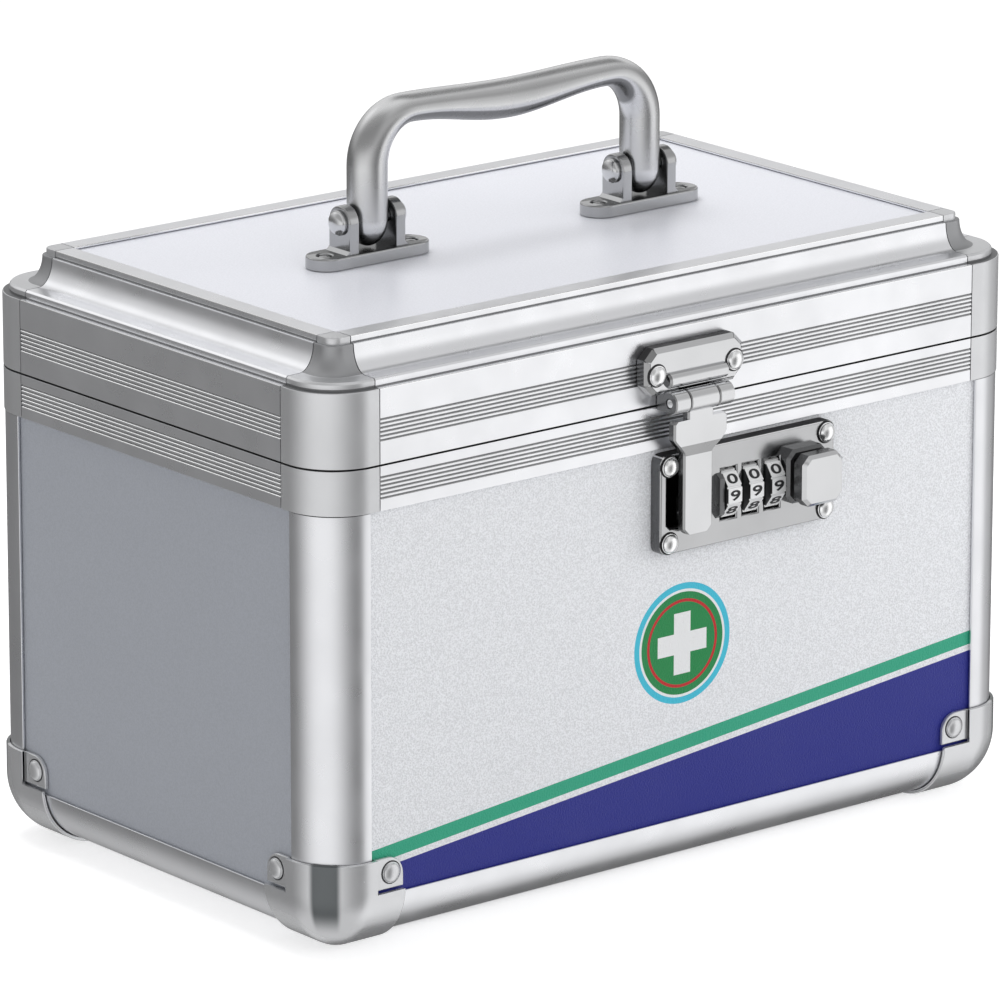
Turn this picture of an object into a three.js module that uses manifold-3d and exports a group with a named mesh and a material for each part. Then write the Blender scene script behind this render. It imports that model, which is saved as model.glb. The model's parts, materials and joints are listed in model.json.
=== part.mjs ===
// A lockable medication box: board panels in an aluminium frame, a coved lid with a swinging
// handle, and a hasp that drops into a combination lock. Millimetres, +Z up, front towards -Y.
// The box is drawn about its own centre with z = 0 at the seam between body and lid. The group at
// the end moves it so that the origin lies on the floor, under the middle of the whole object.

import * as THREE from 'three';
import { mergeVertices } from 'three/addons/utils/BufferGeometryUtils.js';
import Module from 'manifold-3d';

const wasm = await Module();
wasm.setup();

// Whole box
const boxWidth = 260;
const boxDepth = 161.5;
const standingHeight = 143.1; // floor to seam
const seamGap = 0.45;
const jointGap = 0.3; // between the ends of neighbouring frame pieces
const fit = 0.25; // between pieces that seat on or in each other
const overrun = 1; // how far a cutting shape runs past what it cuts
const weldTolerance = 0.0001;

// Lid frame, as insets from the outer face and heights above the seam
const castingRadius = 19.4;
const lidBandHeight = 22;
const lidWall = 1.8;
const ledgeInset = 2.1;
const ribHeight = 2.5;
const ribChamfer = 0.6;
const coveFootInset = 6.6;
const coveWidth = 5.1;
const coveHeight = 7.9;
const coveWall = 1.6;
const rimStepWidth = 1.2;
const rimFaceHeight = 2;
const lidPanelThickness = 3;
const lidPanelRecess = 1;
const lidPanelBite = 4.3;
const lidPanelLip = 1.2;

// Fine grooves along both bands
const grooveCount = 6;
const groovePitch = 1.2;
const grooveWidth = 0.7;
const grooveDepth = 0.45;
const lidGrooveStart = 6.8;
const bodyGrooveStart = 3.1;

// Body rim
const bodyBandHeight = 13.2;
const bodyRimWidth = 5.9;
const rimBite = 4.7; // how far a wall panel reaches up into the rim
const tongueHeight = 4;
const tongueWidth = 1.6;
const tongueClearance = 0.5;
const tongueChamfer = 0.5;

// Corner posts, bottom rails and wall panels
const wallPanelThickness = 3;
const frameRadius = 18.2;
const frameInset = 0.6; // posts and rails stand this far inside the bands
const panelRecess = 1.1; // panels stand this far inside posts and rails
const lipReach = 2; // from the centre of a post's or rail's round to the edge of its lip
const panelBite = 1.75; // how far a panel edge goes into a frame groove
const frameFlange = 1.1;
const frameInnerFlat = 4;

// Corner guards
const guardThickness = 1.05;
const guardReach = 9.1;
const tabReach = 9;
const tabCornerRadius = 5.5;
const tabNotch = 0.6;
const guardStep = 1; // the round of the guard starts this far from its centre
const guardRiser = 0.75;
const guardRivetRadius = 3.4;
const guardRivetHeight = 1.6;
const baseRivetHeight = 0.7;
const guardRivetInset = 4.5;

// Handle
const handlePitch = 102;
const handleLegRadius = 5.95;
const pivotHeight = 12.4; // pivot axis above the lid panel
const handleRise = 34.7; // pivot axis to the highest point of the grip
const gripDip = 1;
const gripThinHeight = 8.6;
const gripMiddleHeight = 11.7;
const bendOuterRadius = 19.5;
const bendInnerWidth = 8.7;
const bracketLength = 42;
const bracketWidth = 12;
const bracketThickness = 3.5;
const bracketHolePitch = 31.4;
const bracketHoleRadius = 2.3;
const bracketHoleDepth = 0.8;
const earThickness = 3.5;
const earRadius = 4.9;
const earGap = 13.4;
const earFoot = 1.4;
const pivotPinRadius = 1.9;
const pivotHeadRadius = 3.7;
const pivotHeadHeight = 2.2;

// Hasp
const haspCentre = 0.2;
const haspPlateWidth = 36.4;
const haspPlateHeight = 13.9;
const haspPlateFoot = 4.2; // lower edge above the seam
const haspPlateThickness = 4.4;
const haspPlateChamfer = 3.2;
const haspBevelHeight = 2.9;
const haspBevelDepth = 1.4;
const haspRivetPitch = 28.8;
const haspRivetHeight = 6.2; // rivet centre above the plate's lower edge
const haspAxisStandoff = 6; // hinge axis in front of the band
const haspAxisHeight = 1.85;
const barrelRadius = 3.45;
const barrelLength = 22;
const knuckleLength = 10.4;
const haspPinRadius = 1.2;
const beadRadius = 2.3;
const beadHeight = 8.3;
const leverThickness = 2.5;
const leverHeadWidth = 19.9;
const leverNeckWidth = 9.6;
const leverWidth = 10.8;
const leverShoulder = 3.6; // depths below the seam, down the lever
const leverHeadEnd = 9;
const leverTaperEnd = 14.2;
const leverCrank = 1;
const leverCrankRise = 3.3; // the crank starts this far above the lock plate
const leverCrankRun = 3.4;
const leverReach = 23.5; // depths below the lock plate's top edge, down to the eye's
const leverChamfer = 1.7;
const stapleWidth = 3.8;
const stapleStart = 13.5;
const stapleEnd = 21.8;
const stapleDepth = 5.1;
const eyeStart = 18.4;
const eyeEnd = 20.7;
const eyeWall = 0.6;

// Lock plate, placed from the box's centre and the body rim; depths are from its top edge
const lockLeft = -11;
const lockWidth = 66;
const lockGap = 1.3; // from the body rim down to the plate
const lockHeight = 29.5;
const lockCornerRadius = 3;
const lockStandoff = 4.3; // front of the plate before the panel
const lockSkin = 1.4;
const lockWall = 1.8;
const lockRivetInset = 3.4;
const rivetRadius = 3.2;
const rivetHeight = 2.2;
const slotInset = 2.5;
const slotWidth = 13.9;
const slotDrop = 2.2;
const slotEnd = 21.9;
const slotChamfer = 1.2;
const channelClearance = 0.75;
const channelEnd = 23.1;

// Dials
const dialCount = 3;
const dialRadius = 8.2;
const dialWidth = 5.4;
const dialPitch = 8.3;
const dialHubRadius = 3;
const dialHubLength = 7;
const dialFirst = 25.6; // first dial from the plate's left edge
const dialAxisDepth = 4.7; // dial axis behind the plate's front
const dialDrop = 15.1; // dial axis below the plate's top edge
const digitCount = 10;
const notchDepth = 0.45;
const notchWidth = 0.7;
const shaftRadius = 1.5;
const guideWidth = 2; // raised guide beside the first dial
const guideHeight = 2;
const guideLength = 13.8;
const guideChamfer = 1.6;

// Release button
const buttonAcross = 15.4;
const buttonHeight = 15.2;
const buttonChamfer = 2.5;
const buttonBevel = 0.8;
const buttonThickness = 4.7;
const buttonFromLeft = 53.3;
const buttonDrop = 13.7;
const buttonTravel = 2;
const collarAcross = 15.6;
const collarHeight = 16.2;
const collarThickness = 3.2;
const stemWidth = 8.6;
const stemLength = 12;

// Bolt, spring and case behind the panel
const boltThickness = 1.4;
const boltBarHeight = 2.9;
const boltBarDrop = 24.5;
const boltArmWidth = 2;
const boltArmGap = 3.8; // arm to staple
const boltTipGap = 0.4;
const boltRatio = 1.2; // bolt travel for each unit of button travel
const wedgeDepth = 3;
const wedgeFlat = 1.2;
const wedgeDrop = 18.5;
const boltHornWidth = 3;
const boltHornDepth = 5;
const caseDepth = 10.2;
const caseWall = 1.5;
const caseMargin = 1.2;
const cutoutMargin = 1.8;
const cheekThickness = 0.9;
const cheekHalfHeight = 2.9;
const cheekGap = 0.3;
const springRadius = 3;
const springWire = 0.35;
const springTurns = 4;
const springBossRadius = 2.1;
const springBossHeight = 2;

// Rear hinges
const hingeInset = 58; // from the end of the box to the middle of a hinge
const hingeLength = 34;
const hingeLeafHeight = 11.6;
const hingeLeafThickness = 1.3;
const hingeLeafStart = 1; // leaf edge from the seam
const hingeAxisStandoff = 3.3;
const hingeKnuckleRadius = 2.6;
const hingePinRadius = 1.1;
const hingeMiddleShare = 0.34;
const hingeRivetRadius = 1.9;
const hingeRivetHeight = 0.9;
const hingeRivetPitch = 12;

// Facet counts
const roundSteps = 8; // steps in a quarter turn of a frame piece
const coveSteps = 6;
const cornerSteps = 3;
const ringSegments = 20;
const domeSegments = 12;
const domeSteps = 3;
const pinSegments = 16;
const gripSteps = 8;
const bendSteps = 6;
const tipSteps = 4;
const coilSides = 5;
const coilSteps = 8;

const quarterTurn = Math.PI / 2;
const X = new THREE.Vector3(1, 0, 0);
const Y = new THREE.Vector3(0, 1, 0);
const Z = new THREE.Vector3(0, 0, 1);

// Sizes worked out from the ones above
const halfWidth = boxWidth / 2;
const halfDepth = boxDepth / 2;
const frameCentre = frameInset + frameRadius; // from a band's outer face
const panelFace = frameInset + panelRecess;
const guardInner = frameRadius + fit;
const guardOuter = guardInner + guardThickness;
const cornerDrop = standingHeight - guardOuter; // centre of the lower corners below the seam
const coveTop = lidBandHeight + ribHeight + coveHeight;
const rimTop = coveTop + rimFaceHeight;
const lidPanelTop = rimTop - lidPanelRecess;
const lidPanelBottom = lidPanelTop - lidPanelThickness;
const panelFront = -(halfDepth - panelFace);
const lockFront = panelFront - lockStandoff;
const lockBack = panelFront - fit;
const lockTop = -(bodyBandHeight + lockGap);
const lockBottom = lockTop - lockHeight;
const lockRight = lockLeft + lockWidth;
const skinBack = lockFront + lockSkin;
const dialAxisY = lockFront + dialAxisDepth;
const dialAxisZ = lockTop - dialDrop;
const buttonX = lockLeft + buttonFromLeft;
const buttonZ = lockTop - buttonDrop;
const collarFront = lockFront - collarThickness;
const buttonBack = collarFront - buttonTravel - fit;
const buttonFront = buttonBack - buttonThickness;
const haspAxisY = -(halfDepth + haspAxisStandoff);
const leverFront = haspAxisY - leverThickness / 2;
const leverBack = leverFront + leverThickness;
const caseFront = panelFront + wallPanelThickness + fit;
const caseBack = caseFront + caseDepth;
const cutoutBottom = lockBottom + cutoutMargin;
const eyeTop = lockTop - eyeStart;
const eyeBottom = lockTop - eyeEnd;
const barTop = lockTop - boltBarDrop;
const pivotZ = lidPanelTop + pivotHeight;
const hingeAxisY = halfDepth + hingeAxisStandoff;
const frontReach = -buttonFront;
const rearReach = hingeAxisY + hingeKnuckleRadius;

// Meshes into solids and back

function outward(geometry) {
  const position = geometry.attributes.position;
  const index = geometry.index.array;
  const corner = [new THREE.Vector3(), new THREE.Vector3(), new THREE.Vector3()];
  let volume = 0;
  for (let i = 0; i < index.length; i += 3) {
    corner.forEach((point, k) => point.fromBufferAttribute(position, index[i + k]));
    volume += corner[0].dot(corner[1].cross(corner[2]));
  }
  if (volume < 0) {
    for (let i = 0; i < index.length; i += 3) {
      [index[i + 1], index[i + 2]] = [index[i + 2], index[i + 1]];
    }
  }
  return geometry;
}

function welded(geometry) {
  const bare = new THREE.BufferGeometry();
  bare.setAttribute('position', geometry.attributes.position.clone());
  if (geometry.index) bare.setIndex(geometry.index.clone());
  const merged = mergeVertices(bare, weldTolerance);
  const index = merged.index.array;
  const kept = [];
  for (let i = 0; i < index.length; i += 3) {
    const [a, b, c] = [index[i], index[i + 1], index[i + 2]];
    if (a !== b && b !== c && c !== a) kept.push(a, b, c);
  }
  merged.setIndex(kept);
  return outward(merged);
}

function solid(shape) {
  if (!shape.isBufferGeometry) return shape;
  const geometry = welded(shape);
  return new wasm.Manifold(new wasm.Mesh({
    numProp: 3,
    vertProperties: Float32Array.from(geometry.attributes.position.array),
    triVerts: Uint32Array.from(geometry.index.array),
  }));
}

function join(...shapes) {
  return shapes.map(solid).reduce((whole, piece) => whole.add(piece));
}

function cut(shape, ...tools) {
  return tools.map(solid).reduce((whole, tool) => whole.subtract(tool), solid(shape));
}

function common(...shapes) {
  return shapes.map(solid).reduce((whole, piece) => whole.intersect(piece));
}

function meshGeometry(shape) {
  if (shape.isBufferGeometry) return welded(shape);
  const mesh = shape.getMesh();
  const geometry = new THREE.BufferGeometry();
  geometry.setAttribute('position', new THREE.BufferAttribute(mesh.vertProperties, 3));
  geometry.setIndex(new THREE.BufferAttribute(mesh.triVerts, 1));
  return geometry;
}

// Outlines

function points(...pairs) {
  return pairs.map(([x, y]) => new THREE.Vector2(x, y));
}

function arc(x, y, radiusX, radiusY, from, to, steps) {
  return Array.from({ length: steps + 1 }, (_, i) => {
    const angle = from + ((to - from) * i) / steps;
    return new THREE.Vector2(x + radiusX * Math.cos(angle), y + radiusY * Math.sin(angle));
  });
}

function rectangle(left, bottom, right, top) {
  return points([left, bottom], [right, bottom], [right, top], [left, top]);
}

function chamfered(left, bottom, right, top, chamfer) {
  return points(
    [left + chamfer, bottom], [right - chamfer, bottom],
    [right, bottom + chamfer], [right, top - chamfer],
    [right - chamfer, top], [left + chamfer, top],
    [left, top - chamfer], [left, bottom + chamfer],
  );
}

function rounded(left, bottom, right, top, radius) {
  const corner = (x, y, turn) =>
    arc(x, y, radius, radius, turn * quarterTurn, (turn + 1) * quarterTurn, cornerSteps);
  return [
    ...corner(right - radius, top - radius, 0), ...corner(left + radius, top - radius, 1),
    ...corner(left + radius, bottom + radius, 2), ...corner(right - radius, bottom + radius, 3),
  ];
}

// Solids from outlines

function prism(outline, depth, right, up, origin) {
  const geometry = new THREE.ExtrudeGeometry(new THREE.Shape(outline), { depth, bevelEnabled: false });
  const away = right.clone().cross(up);
  const place = new THREE.Matrix4().makeBasis(right, up, away).setPosition(origin);
  return geometry.applyMatrix4(place);
}

// An outline drawn in x and z, from a plane towards the front
function frontSlab(outline, back, thickness) {
  return prism(outline, thickness, X, Z, new THREE.Vector3(0, back, 0));
}

// An outline drawn in y and z, along x
function crossBar(outline, left, length) {
  return prism(outline, length, Y, Z, new THREE.Vector3(left, 0, 0));
}

// An outline drawn in x and y, upwards
function upright(outline, bottom, height) {
  return prism(outline, height, X, Y, new THREE.Vector3(0, 0, bottom));
}

function block(low, high) {
  return upright(rectangle(low[0], low[1], high[0], high[1]), low[2], high[2] - low[2]);
}

function rodX(radius, left, right, y, z, segments = pinSegments) {
  return new THREE.CylinderGeometry(radius, radius, right - left, segments)
    .rotateZ(quarterTurn)
    .translate((left + right) / 2, y, z);
}

function dome(radius, height, root, direction, x, y, z) {
  const profile = [
    new THREE.Vector2(0, -root), new THREE.Vector2(radius, -root),
    ...arc(0, 0, radius, height, 0, quarterTurn, domeSteps),
  ];
  profile[profile.length - 1].x = 0;
  const turn = new THREE.Quaternion().setFromUnitVectors(Y, direction);
  return new THREE.LatheGeometry(profile, domeSegments).applyQuaternion(turn).translate(x, y, z);
}

// A solid skinned over copies of one outline, each set in space by its own place
function swept(outline, places) {
  const loop = THREE.ShapeUtils.isClockWise(outline) ? [...outline].reverse() : outline;
  const count = loop.length;
  const vertices = places.flatMap((place) => loop.flatMap((point) => place(point).toArray()));
  const index = [];
  for (let ring = 0; ring + 1 < places.length; ring += 1) {
    for (let i = 0; i < count; i += 1) {
      const [a, b] = [ring * count + i, ring * count + ((i + 1) % count)];
      index.push(a, b, b + count, a, b + count, a + count);
    }
  }
  const last = (places.length - 1) * count;
  for (const [a, b, c] of THREE.ShapeUtils.triangulateShape(loop, [])) {
    index.push(a, c, b, last + a, last + b, last + c);
  }
  const geometry = new THREE.BufferGeometry();
  geometry.setAttribute('position', new THREE.Float32BufferAttribute(vertices, 3));
  geometry.setIndex(index);
  return geometry;
}

// A frame outline of insets and heights, turned through a corner about an upright axis
function turnedCorner(outline, radius) {
  const steps = Array.from({ length: roundSteps + 1 }, (_, i) => (i / roundSteps) * quarterTurn);
  return swept(outline, steps.map((angle) => (point) => new THREE.Vector3(
    (radius - point.x) * Math.sin(angle), -(radius - point.x) * Math.cos(angle), point.y,
  )));
}

// Frame outlines, as inset from the band's face and height above the seam

function grooves(start, direction) {
  return Array.from({ length: grooveCount }, (_, i) => start + i * groovePitch).flatMap((foot) => [
    new THREE.Vector2(0, direction * foot),
    new THREE.Vector2(grooveDepth, direction * (foot + grooveWidth / 2)),
    new THREE.Vector2(0, direction * (foot + grooveWidth)),
  ]);
}

function lidFrameOutline(withGrooves) {
  const rimFaceInset = coveFootInset + coveWidth + rimStepWidth;
  const coveFoot = lidBandHeight + ribHeight;
  const lipInset = castingRadius - lidPanelBite - fit;
  const cove = arc(coveFootInset, coveTop, coveWidth, coveHeight, -quarterTurn, 0, coveSteps);
  const innerWidth = coveWidth + coveWall;
  const innerHeight = coveHeight + coveWall;
  const lipFoot = lidPanelBottom - fit - lidPanelLip;
  const innerStart = Math.asin((lipFoot - coveTop) / innerHeight);
  const innerCove = arc(
    coveFootInset, coveTop, innerWidth, innerHeight, innerStart, -quarterTurn, coveSteps,
  );
  return [
    new THREE.Vector2(0, seamGap / 2),
    ...(withGrooves ? grooves(lidGrooveStart, 1) : []),
    ...points(
      [0, lidBandHeight], [ledgeInset, lidBandHeight],
      [ledgeInset, coveFoot - ribChamfer], [ledgeInset + ribChamfer, coveFoot],
    ),
    ...cove,
    ...points(
      [rimFaceInset, coveTop], [rimFaceInset, rimTop], [castingRadius, rimTop],
      ...(withGrooves ? [
        [castingRadius, lidPanelTop + fit], [lipInset, lidPanelTop + fit],
        [lipInset, lidPanelBottom - fit], [castingRadius, lidPanelBottom - fit],
      ] : []),
      [castingRadius, lipFoot],
    ),
    ...innerCove,
    ...points(
      [ledgeInset + coveWall, coveTop - innerHeight], [lidWall, coveFoot - 2 * coveWall],
      [lidWall, seamGap / 2],
    ),
  ];
}

function bodyRimOutline(withGrooves) {
  const top = -seamGap / 2;
  const tongueFace = lidWall + tongueClearance;
  const tongueBack = tongueFace + tongueWidth;
  const tongueTop = top + tongueHeight;
  const grooveOuter = panelFace - fit;
  const grooveInner = panelFace + wallPanelThickness + fit;
  const grooveTop = rimBite + fit - bodyBandHeight;
  return [
    ...points(
      [grooveOuter, -bodyBandHeight], [grooveOuter, grooveTop], [grooveInner, grooveTop],
      [grooveInner, -bodyBandHeight], [bodyRimWidth, -bodyBandHeight],
      [bodyRimWidth, grooveTop + bodyRimWidth - tongueBack], [tongueBack, top],
      [tongueBack, tongueTop], [tongueFace + tongueChamfer, tongueTop],
      [tongueFace, tongueTop - tongueChamfer], [tongueFace, top], [0, top],
    ),
    ...(withGrooves ? grooves(bodyGrooveStart, -1) : []),
    new THREE.Vector2(0, -bodyBandHeight),
  ];
}

// Post and rail section, about the centre of its round, with a groove for a panel at each end
function cornerSection() {
  const face = frameRadius - panelRecess;
  const grooveOuter = face + fit;
  const grooveInner = face - wallPanelThickness - fit;
  const flange = grooveInner - frameFlange;
  const grooveEnd = lipReach + panelBite + fit;
  const lipAngle = Math.asin(lipReach / frameRadius);
  const half = [
    [grooveOuter, lipReach], [grooveOuter, grooveEnd], [grooveInner, grooveEnd],
    [grooveInner, lipReach], [flange, lipReach], [flange, lipReach + frameInnerFlat],
  ];
  return [
    ...arc(0, 0, frameRadius, frameRadius, quarterTurn - lipAngle, lipAngle, roundSteps),
    ...points(...half),
    ...points(...half.map(([u, v]) => [v, u]).reverse()),
  ];
}

// Materials

const satinAluminium = { color: 0xc9ccd0, roughness: 0.35, metalness: 0.9 };
const castGrey = { color: 0xb4b7ba, roughness: 0.45, metalness: 0.8 };
const chrome = { color: 0xd8dadd, roughness: 0.12, metalness: 1 };
const satinChrome = { color: 0xb9babd, roughness: 0.28, metalness: 1 };
const blackSteel = { color: 0x303236, roughness: 0.5, metalness: 0.8 };
const silverBoard = { color: 0xdcdee2, roughness: 0.6, metalness: 0.1 };
const greyBoard = { color: 0x9298a1, roughness: 0.6, metalness: 0.1 };
const lidBoard = { color: 0xe6e9f3, roughness: 0.4, metalness: 0.05 };
const dialPlated = { color: 0xf0f1f3, roughness: 0.25, metalness: 0.5 };

function part(name, finish, shape) {
  const mesh = new THREE.Mesh(meshGeometry(shape), new THREE.MeshStandardMaterial(finish));
  mesh.name = name;
  return mesh;
}

// Straight frame pieces of one side, drawn as the front side

function bandPiece(outline, run, reach) {
  const length = 2 * (run - castingRadius - jointGap);
  return prism(outline, length, Y, Z, new THREE.Vector3(-length / 2, -reach, 0));
}

function bottomRail(run, reach) {
  const half = run - frameCentre - jointGap / 2;
  const centre = new THREE.Vector3(-half, -(reach - frameCentre), -cornerDrop);
  return prism(cornerSection(), 2 * half, Y.clone().negate(), Z.clone().negate(), centre);
}

function cornerPost(run, reach) {
  const top = -bodyBandHeight - fit;
  const height = top + cornerDrop - jointGap / 2;
  const centre = new THREE.Vector3(run - frameCentre, -(reach - frameCentre), top);
  return prism(cornerSection(), height, X, Y.clone().negate(), centre);
}

function wallPanel(run, reach, holes) {
  const half = run - frameCentre + lipReach + panelBite;
  const topHalf = run - castingRadius - fit;
  const foot = -(cornerDrop + lipReach + panelBite);
  const shoulder = -bodyBandHeight - fit;
  const outline = points(
    [-half, foot], [half, foot], [half, shoulder], [topHalf, shoulder],
    [topHalf, rimBite - bodyBandHeight], [-topHalf, rimBite - bodyBandHeight],
    [-topHalf, shoulder], [-half, shoulder],
  );
  const inner = -(reach - panelFace - wallPanelThickness);
  return cut(frontSlab(outline, inner, wallPanelThickness), ...holes);
}

function bottomPanel() {
  const bite = lipReach + panelBite;
  const [x, y] = [halfWidth - frameCentre + bite, halfDepth - frameCentre + bite];
  const bottom = -(cornerDrop + frameRadius - panelRecess);
  return upright(rectangle(-x, -y, x, y), bottom, wallPanelThickness);
}

function lidPanel() {
  const lip = castingRadius - lidPanelBite;
  const [x, y] = [halfWidth - lip, halfDepth - lip];
  const notch = lidPanelBite + fit;
  const [nearX, nearY] = [x - notch, y - notch];
  const outline = points(
    [-nearX, -y], [nearX, -y], [nearX, -nearY], [x, -nearY], [x, nearY], [nearX, nearY],
    [nearX, y], [-nearX, y], [-nearX, nearY], [-x, nearY], [-x, -nearY], [-nearX, -nearY],
  );
  return upright(outline, lidPanelBottom, lidPanelThickness);
}

// Corner guard: a pressed shell over the rounded lower corner, with an arm along each of the three
// edges and a riveted tab on each of the three faces. It is drawn about the centre of the round
// with its faces pointing to +X, +Y and +Z, and turned into place by the assembly.

function cyclic(geometry, turns) {
  const axes = [X, Y, Z];
  const basis = new THREE.Matrix4().makeBasis(...axes.map((_, i) => axes[(i + turns) % axes.length]));
  return geometry.applyMatrix4(basis);
}

function guardArm() {
  const start = Math.asin(guardStep / guardOuter);
  const outline = [
    ...arc(0, 0, guardOuter, guardOuter, start, quarterTurn - start, roundSteps),
    ...arc(0, 0, guardInner, guardInner, quarterTurn - start, start, roundSteps),
  ];
  return upright(outline, -guardReach, guardReach + guardStep);
}

function guardShell() {
  const outline = [
    ...arc(0, 0, guardOuter, guardOuter, 0, quarterTurn, roundSteps),
    ...arc(0, 0, guardInner, guardInner, quarterTurn, 0, roundSteps),
  ];
  const steps = Array.from({ length: roundSteps + 1 }, (_, i) => (i / roundSteps) * quarterTurn);
  return swept(outline, steps.map((angle) => (point) => new THREE.Vector3(
    point.x * Math.cos(angle), point.x * Math.sin(angle), point.y,
  )));
}

// Drawn with the riser towards +X, the notch towards +Y and the face towards +Z
function guardTab(rivetHeight) {
  const inner = frameRadius - panelRecess + fit;
  const face = inner + guardThickness;
  const riserEnd = guardStep + guardRiser;
  const notchEdge = guardStep - tabNotch;
  const corner = arc(
    tabCornerRadius - tabReach, tabCornerRadius - tabReach, tabCornerRadius, tabCornerRadius,
    2 * quarterTurn, 3 * quarterTurn, cornerSteps + 1,
  );
  const plate = [
    ...corner, ...points([riserEnd, -tabReach], [riserEnd, notchEdge], [-tabReach, notchEdge]),
  ];
  const rivetPlace = [-guardRivetInset, -guardRivetInset, face];
  return join(
    upright(plate, inner, guardThickness),
    block([guardStep, -tabReach, inner], [riserEnd, notchEdge, guardOuter - fit / 2]),
    dome(guardRivetRadius, rivetHeight, guardThickness / 2, Z, ...rivetPlace),
  );
}

function mapped(shape, right, up, away) {
  const mesh = meshGeometry(shape);
  return welded(mesh.applyMatrix4(new THREE.Matrix4().makeBasis(right, up, away)));
}

function cornerGuard(run, reach) {
  const down = Z.clone().negate();
  const out = Y.clone().negate();
  const local = join(
    guardShell(),
    ...[0, 1, 2].map((turns) => cyclic(guardArm(), turns)),
    mapped(guardTab(guardRivetHeight), X, Z, Y),
    mapped(guardTab(guardRivetHeight), Y, Z, X),
    guardTab(baseRivetHeight),
  );
  const place = new THREE.Matrix4().makeBasis(X, out, down)
    .setPosition(run - frameCentre, -(reach - frameCentre), -cornerDrop);
  return meshGeometry(local).applyMatrix4(place);
}

// Handle: a cast bar whose section is a round in the legs, thins at the bends and swells downward
// in the middle of the grip. Half of it is laid out as stations and mirrored.

function handleStations() {
  const half = handlePitch / 2;
  const top = pivotZ + handleRise;
  const outerX = half + handleLegRadius - bendOuterRadius;
  const outerZ = top - bendOuterRadius;
  const innerX = half - handleLegRadius - bendInnerWidth;
  const gripUnder = top - gripThinHeight;
  const innerHeight = gripUnder - outerZ;
  const stations = [];
  for (let i = 0; i < tipSteps; i += 1) {
    const angle = (i / tipSteps) * quarterTurn;
    const radius = handleLegRadius * Math.sin(angle);
    const drop = handleLegRadius * Math.cos(angle);
    stations.push({
      inner: [half - radius, pivotZ - drop], outer: [half + radius, pivotZ - drop], depth: radius,
    });
  }
  stations.push({
    inner: [half - handleLegRadius, pivotZ], outer: [half + handleLegRadius, pivotZ],
    depth: handleLegRadius,
  });
  for (let i = 0; i <= bendSteps; i += 1) {
    const angle = (i / bendSteps) * quarterTurn;
    const [cos, sin] = [Math.cos(angle), Math.sin(angle)];
    stations.push({
      inner: [innerX + bendInnerWidth * cos, outerZ + innerHeight * sin],
      outer: [outerX + bendOuterRadius * cos, outerZ + bendOuterRadius * sin],
      depth: handleLegRadius,
    });
  }
  for (let i = 1; i <= gripSteps; i += 1) {
    const share = 1 - i / gripSteps;
    const swell = (1 + Math.cos(Math.PI * share)) / 2;
    const middleUnder = top - gripDip - gripMiddleHeight;
    stations.push({
      inner: [innerX * share, gripUnder + (middleUnder - gripUnder) * swell],
      outer: [outerX * share, top - gripDip * swell],
      depth: handleLegRadius,
    });
  }
  const mirror = ({ inner, outer, depth }) => ({
    inner: [-inner[0], inner[1]], outer: [-outer[0], outer[1]], depth,
  });
  return [...stations, ...stations.slice(0, -1).reverse().map(mirror)];
}

function handle() {
  const ring = arc(0, 0, 1, 1, 0, 4 * quarterTurn, ringSegments).slice(1);
  const places = handleStations().map(({ inner, outer, depth }) => (point) => {
    const [x, z] = [0, 1].map((k) => (inner[k] + outer[k]) / 2 + (point.x * (outer[k] - inner[k])) / 2);
    return new THREE.Vector3(x, point.y * depth, z);
  });
  const half = handlePitch / 2 + handleLegRadius + overrun;
  return cut(swept(ring, places), rodX(pivotPinRadius + fit, -half, half, 0, pivotZ));
}

function handleBracket() {
  const base = lidPanelTop + fit;
  const top = base + bracketThickness;
  const end = bracketLength / 2 - bracketWidth / 2;
  const plate = [
    ...arc(end, 0, bracketWidth / 2, bracketWidth / 2, -quarterTurn, quarterTurn, 2 * roundSteps),
    ...arc(-end, 0, bracketWidth / 2, bracketWidth / 2, quarterTurn, 3 * quarterTurn, 2 * roundSteps),
  ];
  const earOutline = [
    new THREE.Vector2(-earRadius, base), new THREE.Vector2(earRadius, base),
    ...arc(0, pivotZ, earRadius, earRadius, 0, 2 * quarterTurn, roundSteps),
  ];
  const outerFace = earGap / 2 + earThickness;
  const foot = points([0, top - fit], [earFoot, top - fit], [0, top + earFoot]);
  const wedge = (side) => prism(
    foot.map((point) => new THREE.Vector2(point.x * side, point.y)),
    2 * earRadius, X, Z, new THREE.Vector3(side * (outerFace - fit), earRadius, 0),
  );
  const hole = (side) => new THREE.CylinderGeometry(
    bracketHoleRadius, bracketHoleRadius, 2 * bracketHoleDepth, pinSegments,
  ).rotateX(quarterTurn).translate((side * bracketHolePitch) / 2, 0, top);
  return cut(
    join(
      upright(plate, base, bracketThickness),
      crossBar(earOutline, earGap / 2, earThickness),
      crossBar(earOutline, -outerFace, earThickness),
      wedge(1), wedge(-1),
    ),
    rodX(pivotPinRadius + fit, -outerFace - overrun, outerFace + overrun, 0, pivotZ),
    hole(1), hole(-1),
  );
}

function handlePin() {
  const face = earGap / 2 + earThickness + fit;
  const root = fit / 2;
  return join(
    rodX(pivotPinRadius, -face - root, face + root, 0, pivotZ),
    dome(pivotHeadRadius, pivotHeadHeight, 0, X, face, 0, pivotZ),
    dome(pivotHeadRadius, pivotHeadHeight, 0, X.clone().negate(), -face, 0, pivotZ),
  );
}

// Hasp: plate on the lid, three-knuckle hinge, lever with a staple that drops into the lock

function knuckle(left, right, reachBack) {
  const ring = rodX(barrelRadius, left, right, haspAxisY, haspAxisHeight, ringSegments);
  if (!reachBack) return solid(ring);
  const web = block(
    [left, haspAxisY, haspAxisHeight - barrelRadius],
    [right, -(halfDepth + fit), haspAxisHeight + barrelRadius],
  );
  return join(ring, web);
}

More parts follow.
